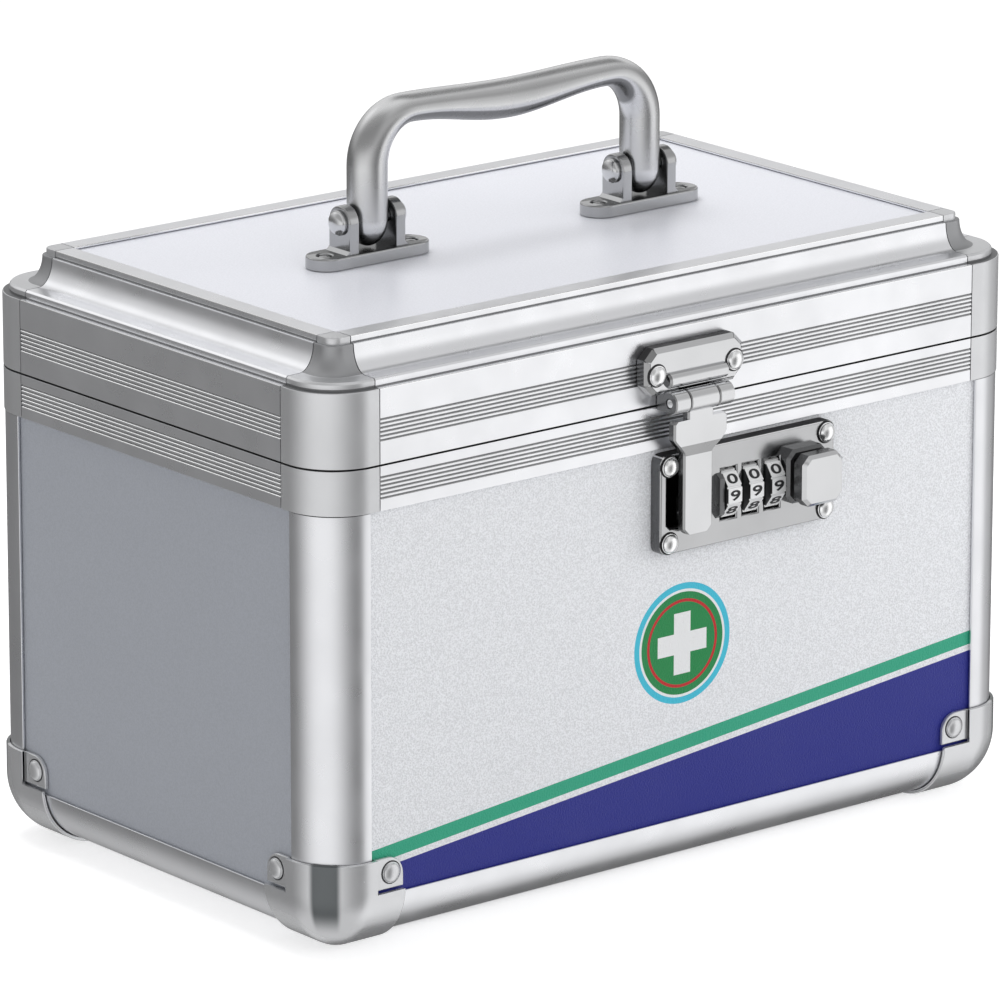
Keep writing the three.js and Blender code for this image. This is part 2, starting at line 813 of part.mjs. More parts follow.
function haspPlate() {
  const back = -(halfDepth + fit);
  const front = back - haspPlateThickness;
  const [left, right] = [haspCentre - haspPlateWidth / 2, haspCentre + haspPlateWidth / 2];
  const [low, high] = [haspPlateFoot, haspPlateFoot + haspPlateHeight];
  const outline = frontSlab(chamfered(left, low, right, high, haspPlateChamfer), back, haspPlateThickness);
  const section = points(
    [back, low], [front, low], [front, high - haspBevelHeight],
    [front + haspBevelDepth, high], [back, high],
  );
  const barrelLeft = haspCentre - barrelLength / 2;
  const barrelRight = haspCentre + barrelLength / 2;
  const innerLeft = haspCentre - knuckleLength / 2 - fit;
  const innerRight = haspCentre + knuckleLength / 2 + fit;
  const rivet = (side) => dome(
    rivetRadius, rivetHeight, lockSkin, Y.clone().negate(),
    haspCentre + (side * haspRivetPitch) / 2, front, low + haspRivetHeight,
  );
  return cut(
    join(
      common(outline, crossBar(section, left, haspPlateWidth)),
      rodX(beadRadius, barrelLeft, barrelRight, front, beadHeight, ringSegments),
      knuckle(barrelLeft, innerLeft, true),
      knuckle(innerRight, barrelRight, true),
      rivet(1), rivet(-1),
    ),
    rodX(barrelRadius + 2 * fit, innerLeft, innerRight, haspAxisY, haspAxisHeight, ringSegments),
    rodX(haspPinRadius + fit, barrelLeft - overrun, barrelRight + overrun, haspAxisY, haspAxisHeight),
  );
}

function haspPin() {
  const half = barrelLength / 2 - fit;
  return rodX(haspPinRadius, haspCentre - half, haspCentre + half, haspAxisY, haspAxisHeight);
}

function haspLever() {
  const [head, neck, blade] = [leverHeadWidth, leverNeckWidth, leverWidth].map((width) => width / 2);
  const leverEnd = lockTop - leverReach;
  const crankStart = lockTop + leverCrankRise;
  const crankEnd = crankStart - leverCrankRun;
  const half = points(
    [neck, haspAxisHeight], [neck, -leverShoulder], [head - leverChamfer / 2, -leverShoulder],
    [head, -leverShoulder - leverChamfer / 2], [head, -leverHeadEnd], [blade, -leverTaperEnd],
    [blade, leverEnd + leverChamfer], [blade - leverChamfer, leverEnd],
  );
  const outline = [
    ...half.map((point) => new THREE.Vector2(haspCentre + point.x, point.y)),
    ...half.map((point) => new THREE.Vector2(haspCentre - point.x, point.y)).reverse(),
  ];
  const section = points(
    [leverBack, haspAxisHeight], [leverFront, haspAxisHeight], [leverFront, crankStart],
    [leverFront + leverCrank, crankEnd], [leverFront + leverCrank, leverEnd],
    [leverBack + leverCrank, leverEnd], [leverBack + leverCrank, crankEnd],
    [leverBack, crankStart],
  );
  const bladeBack = leverBack + leverCrank;
  const [left, right] = [haspCentre - stapleWidth / 2, haspCentre + stapleWidth / 2];
  const eyeBack = bladeBack + stapleDepth - eyeWall;
  const staple = cut(
    block(
      [left, bladeBack - fit, lockTop - stapleEnd],
      [right, bladeBack + stapleDepth, lockTop - stapleStart],
    ),
    block(
      [left - overrun, eyeBack - boltThickness - 2 * fit, eyeBottom],
      [right + overrun, eyeBack, eyeTop],
    ),
  );
  const [knuckleLeft, knuckleRight] = [haspCentre - knuckleLength / 2, haspCentre + knuckleLength / 2];
  return cut(
    join(
      common(
        frontSlab(outline, bladeBack + overrun, leverThickness + leverCrank + 2 * overrun),
        crossBar(section, haspCentre - head - overrun, leverHeadWidth + 2 * overrun),
      ),
      knuckle(knuckleLeft, knuckleRight, false),
      staple,
    ),
    rodX(haspPinRadius + fit, knuckleLeft - overrun, knuckleRight + overrun, haspAxisY, haspAxisHeight),
  );
}

// Lock: a cast plate on the front panel with the bolt behind its skin, and a case inside the box

function dialPlaces() {
  return Array.from({ length: dialCount }, (_, i) => lockLeft + dialFirst + i * dialPitch);
}

function lockPlate() {
  const face = rounded(lockLeft, lockBottom, lockRight, lockTop, lockCornerRadius);
  const hollow = rectangle(
    lockLeft + lockWall, lockBottom + lockWall, lockRight - lockWall, lockTop - lockWall,
  );
  const slotLeft = lockLeft + slotInset;
  const slotRight = slotLeft + slotWidth;
  const slotBottom = lockTop - slotEnd;
  const slot = points(
    [slotLeft + slotChamfer, slotBottom], [slotRight, slotBottom], [slotRight, lockTop - slotDrop],
    [slotLeft, lockTop - slotDrop], [slotLeft, slotBottom + slotChamfer],
  );
  const channelHalf = stapleWidth / 2 + channelClearance;
  const channel = rectangle(
    haspCentre - channelHalf, lockTop - channelEnd, haspCentre + channelHalf, lockTop + overrun,
  );
  const through = lockStandoff + 2 * overrun;
  const windowHalf = dialWidth / 2 + fit;
  const windows = dialPlaces().map((x) => rodX(
    dialRadius + fit, x - windowHalf, x + windowHalf, dialAxisY, dialAxisZ, 2 * ringSegments,
  ));
  const collar = chamfered(
    buttonX - collarAcross / 2, buttonZ - collarHeight / 2,
    buttonX + collarAcross / 2, buttonZ + collarHeight / 2, buttonChamfer,
  );
  const stemHalf = stemWidth / 2 + fit;
  const stemHole = rectangle(
    buttonX - stemHalf, buttonZ - stemHalf, buttonX + stemHalf, buttonZ + stemHalf,
  );
  const guideEnd = guideLength / 2;
  const guide = points(
    [lockFront + fit, dialAxisZ - guideEnd], [lockFront + fit, dialAxisZ + guideEnd],
    [lockFront - guideHeight, dialAxisZ + guideEnd - guideChamfer],
    [lockFront - guideHeight, dialAxisZ - guideEnd + guideChamfer],
  );
  const rivets = [lockLeft + lockRivetInset, lockRight - lockRivetInset].flatMap((x) =>
    [lockTop - lockRivetInset, lockBottom + lockRivetInset].map((z) =>
      dome(rivetRadius, rivetHeight, lockSkin / 2, Y.clone().negate(), x, lockFront, z)));
  return cut(
    join(
      frontSlab(face, lockBack, lockStandoff - fit),
      frontSlab(collar, skinBack, lockSkin + collarThickness),
      crossBar(guide, dialPlaces()[0] - windowHalf - guideWidth, guideWidth),
      ...rivets,
    ),
    frontSlab(hollow, lockBack + overrun, lockStandoff - fit - lockSkin + overrun),
    frontSlab(slot, lockBack + overrun, through),
    frontSlab(channel, lockBack + overrun, through),
    frontSlab(stemHole, lockBack + overrun, through + collarThickness),
    ...windows,
  );
}

function lockCutout() {
  return rectangle(lockLeft + lockWall, cutoutBottom, lockRight - lockWall, lockTop - cutoutMargin);
}

function lockCase() {
  const [left, right] = [lockLeft - caseMargin, lockRight + caseMargin];
  const [low, high] = [lockBottom - caseMargin, lockTop + caseMargin];
  const back = caseBack - caseWall;
  const dials = dialPlaces();
  const cheekFront = skinBack + fit;
  const cheek = (from, to) => block(
    [from, cheekFront, dialAxisZ - cheekHalfHeight], [to, back + fit, dialAxisZ + cheekHalfHeight],
  );
  const firstFace = dials[0] - dialHubLength / 2 - cheekGap;
  const lastFace = dials[dialCount - 1] + dialHubLength / 2 + cheekGap;
  const boss = new THREE.CylinderGeometry(
    springBossRadius, springBossRadius, springBossHeight + fit, pinSegments,
  ).translate(buttonX, back - springBossHeight / 2 + fit / 2, buttonZ);
  return cut(
    join(
      cut(
        block([left, caseFront, low], [right, caseBack, high]),
        block(
          [left + caseWall, caseFront - overrun, low + caseWall],
          [right - caseWall, back, high - caseWall],
        ),
      ),
      cheek(firstFace - cheekThickness, firstFace), cheek(lastFace, lastFace + cheekThickness), boss,
    ),
    rodX(shaftRadius + fit, firstFace - overrun - cheekThickness, lastFace + overrun + cheekThickness,
      dialAxisY, dialAxisZ),
  );
}

function dialShaft() {
  const dials = dialPlaces();
  const half = dialHubLength / 2 + cheekGap + cheekThickness;
  return rodX(shaftRadius, dials[0] - half, dials[dialCount - 1] + half, dialAxisY, dialAxisZ);
}

// One flat for each digit, with a fine notch between neighbours
function dial(x) {
  const sector = (4 * quarterTurn) / digitCount;
  const notch = notchWidth / dialRadius / 2;
  const rim = Array.from({ length: digitCount }, (_, i) => i * sector).flatMap((angle) => {
    const edge = angle + sector / 2;
    return [[dialRadius, edge - notch], [dialRadius - notchDepth, edge], [dialRadius, edge + notch]]
      .map(([radius, at]) => new THREE.Vector2(
        dialAxisY - radius * Math.cos(at), dialAxisZ + radius * Math.sin(at),
      ));
  });
  return cut(
    join(
      crossBar(rim, x - dialWidth / 2, dialWidth),
      rodX(dialHubRadius, x - dialHubLength / 2, x + dialHubLength / 2, dialAxisY, dialAxisZ, ringSegments),
    ),
    rodX(shaftRadius + fit, x - dialHubLength, x + dialHubLength, dialAxisY, dialAxisZ),
  );
}

// The wedge on the stem pushes the bolt aside as the button goes in
function releaseButton() {
  const cap = chamfered(
    buttonX - buttonAcross / 2, buttonZ - buttonHeight / 2,
    buttonX + buttonAcross / 2, buttonZ + buttonHeight / 2, buttonChamfer,
  );
  const middle = new THREE.Vector2(buttonX, buttonZ);
  const faceShare = 1 - (2 * buttonBevel) / buttonAcross;
  const crown = swept(cap, [
    (point) => new THREE.Vector3(point.x, buttonBack, point.y),
    (point) => new THREE.Vector3(point.x, buttonFront + buttonBevel, point.y),
    (point) => {
      const near = middle.clone().lerp(point, faceShare);
      return new THREE.Vector3(near.x, buttonFront, near.y);
    },
  ]);
  const stemHalf = stemWidth / 2;
  const stem = block(
    [buttonX - stemHalf, buttonBack - fit, buttonZ - stemHalf],
    [buttonX + stemHalf, buttonBack + stemLength, buttonZ + stemHalf],
  );
  const wedgeWidth = wedgeDepth * boltRatio;
  const wedgeFront = skinBack + fit;
  const wedge = points(
    [buttonX - wedgeFlat, wedgeFront], [buttonX + wedgeWidth, wedgeFront],
    [buttonX, wedgeFront + wedgeDepth], [buttonX - wedgeFlat, wedgeFront + wedgeDepth],
  );
  return join(crown, stem, upright(wedge, barTop + fit, buttonZ - stemHalf - barTop));
}

function lockBolt() {
  const front = skinBack + fit;
  const back = front + boltThickness;
  const stapleRight = haspCentre + stapleWidth / 2;
  const armLeft = stapleRight + boltArmGap;
  const tipLeft = stapleRight + boltTipGap;
  const wedgeWidth = wedgeDepth * boltRatio;
  const hornX = buttonX + wedgeWidth + 2 * fit;
  const barFoot = barTop - boltBarHeight;
  const armTop = eyeTop - fit;
  const horn = points(
    [hornX, front], [hornX + boltHornWidth, front], [hornX + boltHornWidth, front + boltHornDepth],
    [hornX - wedgeWidth, front + boltHornDepth], [hornX - wedgeWidth, front + wedgeDepth],
  );
  return join(
    block([armLeft, front, barFoot], [hornX + boltHornWidth, back, barTop]),
    block([armLeft, front, barFoot], [armLeft + boltArmWidth, back, armTop]),
    block([tipLeft, front, eyeBottom + fit], [armLeft + fit, back, armTop]),
    upright(horn, barFoot, lockTop - wedgeDrop - barFoot),
  );
}

function buttonSpring() {
  const seat = caseBack - caseWall - fit;
  const length = seat - (buttonBack + stemLength + buttonTravel) - fit;
  class Helix extends THREE.Curve {
    getPoint(t, target = new THREE.Vector3()) {
      const angle = t * springTurns * 4 * quarterTurn;
      return target.set(
        buttonX + springRadius * Math.cos(angle), seat - springWire - t * (length - 2 * springWire),
        buttonZ + springRadius * Math.sin(angle),
      );
    }
  }
  const ring = arc(0, 0, springWire, springWire, 0, 4 * quarterTurn, coilSides).slice(1);
  return new THREE.ExtrudeGeometry(new THREE.Shape(ring), {
    steps: springTurns * coilSteps, extrudePath: new Helix(), bevelEnabled: false,
  });
}

// Rear hinge, drawn about x = 0: side 1 is the lid leaf, side -1 the body leaf

function hingeLeaf(side) {
  const back = halfDepth + fit;
  const half = hingeLength / 2;
  const middle = (hingeLength * hingeMiddleShare) / 2;
  const middleSpans = [[fit - middle, middle - fit]];
  const outerSpans = [[-half, -middle - fit], [middle + fit, half]];
  const [spans, otherSpans] = side > 0 ? [middleSpans, outerSpans] : [outerSpans, middleSpans];
  const [near, far] = [side * hingeLeafStart, side * (hingeLeafStart + hingeLeafHeight)];
  const leaf = cut(
    block([-half, back, Math.min(near, far)], [half, back + hingeLeafThickness, Math.max(near, far)]),
    ...otherSpans.map(([left, right]) => rodX(
      hingeKnuckleRadius + 2 * fit, left - 2 * fit, right + 2 * fit, hingeAxisY, 0, ringSegments,
    )),
  );
  const knuckles = spans.map(([left, right]) => join(
    rodX(hingeKnuckleRadius, left, right, hingeAxisY, 0, ringSegments),
    block(
      [left, back, side > 0 ? 0 : -hingeKnuckleRadius],
      [right, hingeAxisY, side > 0 ? hingeKnuckleRadius : 0],
    ),
  ));
  const rivets = [-1, 0, 1].map((place) => dome(
    hingeRivetRadius, hingeRivetHeight, hingeLeafThickness / 2, Y, place * hingeRivetPitch,
    back + hingeLeafThickness, side * (hingeLeafStart + hingeKnuckleRadius + hingeLeafHeight) / 2,
  ));
  return cut(
    join(leaf, ...knuckles, ...rivets),
    rodX(hingePinRadius + fit, -half - overrun, half + overrun, hingeAxisY, 0),
  );
}

function hingePin() {
  return rodX(hingePinRadius, -hingeLength / 2, hingeLength / 2, hingeAxisY, 0);
}

// Assembly

const sides = [
  { name: 'front', corner: 'front_right', turn: 0, run: halfWidth, reach: halfDepth },
  { name: 'right', corner: 'rear_right', turn: 1, run: halfDepth, reach: halfWidth },
  { name: 'rear', corner: 'rear_left', turn: 2, run: halfWidth, reach: halfDepth },
  { name: 'left', corner: 'front_left', turn: 3, run: halfDepth, reach: halfWidth },
];

function frameSide({ name, corner, turn, run, reach }) {
  const side = new THREE.Group();
  const seat = new THREE.Group();
  const isFront = name === 'front';
  const holes = isFront ? [frontSlab(
    lockCutout(), panelFront + wallPanelThickness + overrun, wallPanelThickness + 2 * overrun,
  )] : [];
  const board = isFront || name === 'rear' ? silverBoard : greyBoard;
  seat.position.set(run - castingRadius, -(reach - castingRadius), 0);
  seat.add(
    part(`body_rim_corner_${corner}`, castGrey, turnedCorner(bodyRimOutline(false), castingRadius)),
    part(`lid_corner_${corner}`, castGrey, turnedCorner(lidFrameOutline(false), castingRadius)),
  );
  side.add(
    part(`${name}_panel`, board, wallPanel(run, reach, holes)),
    part(`body_rim_${name}`, satinAluminium, bandPiece(bodyRimOutline(true), run, reach)),
    part(`lid_rim_${name}`, satinAluminium, bandPiece(lidFrameOutline(true), run, reach)),
    part(`bottom_rail_${name}`, satinAluminium, bottomRail(run, reach)),
    part(`corner_post_${corner}`, satinAluminium, cornerPost(run, reach)),
    part(`corner_guard_${corner}`, chrome, cornerGuard(run, reach)),
    seat,
  );
  side.rotation.z = turn * quarterTurn;
  return side;
}

function handleSide(name, direction) {
  const group = new THREE.Group();
  group.add(
    part(`handle_bracket_${name}`, satinChrome, handleBracket()),
    part(`handle_pin_${name}`, chrome, handlePin()),
  );
  group.position.x = (direction * handlePitch) / 2;
  return group;
}

function rearHinge(name, direction) {
  const group = new THREE.Group();
  group.add(
    part(`hinge_body_leaf_${name}`, satinChrome, hingeLeaf(-1)),
    part(`hinge_lid_leaf_${name}`, satinChrome, hingeLeaf(1)),
    part(`hinge_pin_${name}`, satinChrome, hingePin()),
  );
  group.position.x = direction * (halfWidth - hingeInset);
  return group;
}

function lock() {
  const group = new THREE.Group();
  const dialNames = ['dial_left', 'dial_middle', 'dial_right'];
  group.add(
    part('lock_plate', chrome, lockPlate()),
    part('lock_case', blackSteel, lockCase()),
    part('dial_shaft', satinChrome, dialShaft()),
    ...dialPlaces().map((x, i) => part(dialNames[i], dialPlated, dial(x))),
    part('release_button', chrome, releaseButton()),
    part('lock_bolt', satinChrome, lockBolt()),
    part('button_spring', satinChrome, buttonSpring()),
    part('hasp_plate', chrome, haspPlate()),
    part('hasp_pin', satinChrome, haspPin()),
    part('hasp_lever', chrome, haspLever()),
  );
  return group;
}

const medicationBox = new THREE.Group();
medicationBox.add(
  ...sides.map(frameSide),
  part('bottom_panel', greyBoard, bottomPanel()),
  part('lid_panel', lidBoard, lidPanel()),
  part('handle', satinChrome, handle()),
  handleSide('left', -1),
  handleSide('right', 1),
  rearHinge('left', -1),
  rearHinge('right', 1),
  lock(),
);
medicationBox.position.set(0, (frontReach - rearReach) / 2, standingHeight);

export default medicationBox;
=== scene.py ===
"""Dress the lockable medication box over its CAD frame.

Sizes are in millimetres from the middle of the box at the seam between body and lid, with +X to
the right, -Y to the front and +Z up. A Datum turns them into the frame's metres.
"""

from __future__ import annotations

import json
import logging
import math
from collections.abc import Callable, Iterable, Sequence
from dataclasses import dataclass
from enum import Enum
from typing import Any

import bmesh
import bpy
from mathutils import Matrix, Vector
from mathutils.geometry import tessellate_polygon

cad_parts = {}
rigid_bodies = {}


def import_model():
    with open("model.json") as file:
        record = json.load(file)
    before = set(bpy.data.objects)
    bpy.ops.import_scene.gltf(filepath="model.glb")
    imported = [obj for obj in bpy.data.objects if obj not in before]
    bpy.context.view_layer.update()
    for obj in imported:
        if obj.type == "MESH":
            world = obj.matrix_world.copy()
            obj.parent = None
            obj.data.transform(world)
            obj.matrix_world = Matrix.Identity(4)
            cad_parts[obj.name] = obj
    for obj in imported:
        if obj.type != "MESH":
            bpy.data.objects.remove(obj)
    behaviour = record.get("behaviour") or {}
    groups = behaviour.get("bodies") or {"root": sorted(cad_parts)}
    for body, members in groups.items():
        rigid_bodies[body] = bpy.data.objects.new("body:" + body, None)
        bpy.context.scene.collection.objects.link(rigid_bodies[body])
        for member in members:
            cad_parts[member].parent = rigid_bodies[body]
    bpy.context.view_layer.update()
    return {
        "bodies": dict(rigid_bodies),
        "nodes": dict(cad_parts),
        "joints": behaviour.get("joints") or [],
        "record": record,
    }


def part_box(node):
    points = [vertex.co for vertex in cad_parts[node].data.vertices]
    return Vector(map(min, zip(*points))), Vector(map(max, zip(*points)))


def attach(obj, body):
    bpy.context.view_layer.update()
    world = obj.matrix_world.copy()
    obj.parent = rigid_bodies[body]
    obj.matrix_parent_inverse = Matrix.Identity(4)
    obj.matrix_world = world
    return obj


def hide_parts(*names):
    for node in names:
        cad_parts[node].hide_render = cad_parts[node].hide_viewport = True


LOG = logging.getLogger("medication_box")
MM = 0.001
QUARTER = math.pi / 2
TURN = 4 * QUARTER
SECTOR = TURN / 10
AXIS = 0.001
WELD = 0.003
SIDEWAYS = 0.8
SLANTED = 0.35

Pair = tuple[float, float]
Triple = tuple[float, float, float]
Box = tuple[float, float, float, float]
Loop = list[Pair]
Ring = list[Vector]
Place = Callable[[float, float], Vector]
Chooser = Callable[[Vector, Vector], int]
Socket = bpy.types.NodeSocket


# Outlines


def fan(start: float, end: float, steps: int) -> list[float]:
    """Return equally spaced angles, both ends included."""
    return [start + (end - start) * i / steps for i in range(steps + 1)]


def arc(centre: Pair, radii: float | Pair, start: float, end: float, steps: int) -> Loop:
    """Return points along part of a circle or an ellipse.

    Args:
        centre: Its centre.
        radii: Its radius, or its half widths along u and v.
        start: First angle in radians.
        end: Last angle in radians.
        steps: Number of straight pieces.

    Returns:
        The points, both ends included.
    """
    wide, high = radii if isinstance(radii, tuple) else (radii, radii)
    return [(centre[0] + wide * math.cos(a), centre[1] + high * math.sin(a))
            for a in fan(start, end, steps)]


def circle(centre: Pair, radius: float) -> Loop:
    """Return a closed circle's points."""
    return arc(centre, radius, 0.0, TURN, 24)[:-1]


def around(u: float, v: float, width: float, height: float) -> Box:
    """Return the left, bottom, right and top of a rectangle about its middle."""
    return u - width / 2, v - height / 2, u + width / 2, v + height / 2


def rectangle(left: float, bottom: float, right: float, top: float) -> Loop:
    """Return a rectangle's corners, anticlockwise."""
    return [(left, bottom), (right, bottom), (right, top), (left, top)]


def chamfered(box: Box, cut: float) -> Loop:
    """Cut the corners of a rectangle off at 45 degrees.

    Args:
        box: Its left, bottom, right and top.
        cut: How much of each side goes.

    Returns:
        The eight corners.
    """
    left, bottom, right, top = box
    return [(left + cut, bottom), (right - cut, bottom), (right, bottom + cut),
            (right, top - cut), (right - cut, top), (left + cut, top), (left, top - cut),
            (left, bottom + cut)]


def area(loop: Loop) -> float:
    """Return a loop's signed area, positive when it runs anticlockwise."""
    return sum(a[0] * b[1] - b[0] * a[1] for a, b in zip(loop, loop[1:] + loop[:1])) / 2


def soften(loop: Loop, radius: float, steps: int = 3, least_turn: float = 0.4,
           least_edge: float = 0.0) -> Loop:
    """Round the sharp corners of a closed loop.

    Args:
        loop: The outline.
        radius: Wanted radius; short edges get a smaller one.
        steps: Straight pieces in each rounded corner.
        least_turn: Corners that turn less than this many radians stay as they are.
        least_edge: Corners beside a shorter edge stay as they are.

    Returns:
        The rounded outline.
    """
    result: Loop = []
    share = 0.42
    for i, point in enumerate(loop):
        here = Vector(point)
        before = here - Vector(loop[i - 1])
        after = Vector(loop[(i + 1) % len(loop)]) - here
        turn = before.angle(after, 0.0) if before.length and after.length else 0.0
        if turn < least_turn or min(before.length, after.length) < least_edge:
            result.append(point)
            continue
        reach = min(radius * math.tan(turn / 2), share * before.length, share * after.length)
        start, end = here - before.normalized() * reach, here + after.normalized() * reach
        for t in (k / steps for k in range(steps + 1)):
            spot = start * (1 - t) ** 2 + here * 2 * t * (1 - t) + end * t * t
            result.append((spot.x, spot.y))
    return result


def shifted(loop: Loop, distance: float) -> Loop:
    """Move every edge of a closed loop to its left, with mitred corners.

    Args:
        loop: The outline.
        distance: How far it moves.

    Returns:
        The moved outline.
    """
    result: Loop = []
    for i, point in enumerate(loop):
        here = Vector(point)
        before = (here - Vector(loop[i - 1])).normalized()
        after = (Vector(loop[(i + 1) % len(loop)]) - here).normalized()
        left_before, left_after = Vector((-before.y, before.x)), Vector((-after.y, after.x))
        scale = 1 + left_before.dot(left_after)
        move = (left_before + left_after) * (distance / max(scale, 0.3))
        result.append((here.x + move.x, here.y + move.y))
    return result


def corner_places(run: float, reach: float, leg: float, corner: float, steps: int,
                  front: float = -1.0) -> list[Place]:
    """Say where an outline's copies stand round a corner, with a short flat either side.

    Args:
        run: Outer face of the side that the turn ends on, along X.
        reach: Outer face of the side that it starts on, along Y.
        leg: Length along each side, from the corner.
        corner: Radius of the round.
        steps: Straight pieces in the round.
        front: -1 where the first side faces -Y, 1 where it faces +Y.

    Returns:
        Functions that put the outline's inset and height in space.
    """
    def turned(u: float, v: float, angle: float) -> Vector:
        """Return a point of the outline part of the way round."""
        hub = max(corner, u)
        return Vector((run - hub + (hub - u) * math.sin(angle),
                       front * (reach - hub + (hub - u) * math.cos(angle)), v))

    return [lambda u, v: Vector((run - leg, front * (reach - u), v)),
            *(lambda u, v, a=a: turned(u, v, a) for a in fan(0.0, QUARTER, steps)),
            lambda u, v: Vector((run - u, front * (reach - leg), v))]


def along_x(ends: Iterable[float]) -> list[Place]:
    """Say that an outline in Y and Z stands at each of these places along X."""
    return [lambda u, v, x=x: Vector((x, u, v)) for x in ends]


class Plane(Enum):
    """How an outline's u and v and its depth w lie in space."""

    FRONT = "u to the right, v up, w towards the front"
    TOP = "u to the right, v towards the back, w up"
    END = "u towards the back, v up, w to the right"
    REAR = "u to the right, v up, w towards the back"

    def at(self, u: float, v: float, w: float) -> Vector:
        """Return the point in space."""
        return Vector({Plane.FRONT: (u, -w, v), Plane.TOP: (u, v, w), Plane.END: (w, u, v),
                       Plane.REAR: (u, w, v)}[self])


@dataclass(frozen=True)
class Datum:
    """Where the middle of the box at the seam lies in the frame, in metres."""

    origin: Vector

    @classmethod
    def from_frame(cls, seam_gap: float) -> Datum:
        """Work the origin out from the wall panels and the lid's rim.

        Args:
            seam_gap: Gap between lid and body in millimetres.

        Returns:
            The datum.
        """
        front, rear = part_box("front_panel"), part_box("rear_panel")
        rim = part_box("lid_rim_front")[0]
        return cls(Vector(((front[0].x + front[1].x) / 2, (front[0].y + rear[1].y) / 2,
                           rim.z - seam_gap / 2 * MM)))

    def world(self, point: Vector) -> Vector:
        """Return a point given in millimetres as frame coordinates in metres."""
        return self.origin + Vector(point) * MM


# Meshes


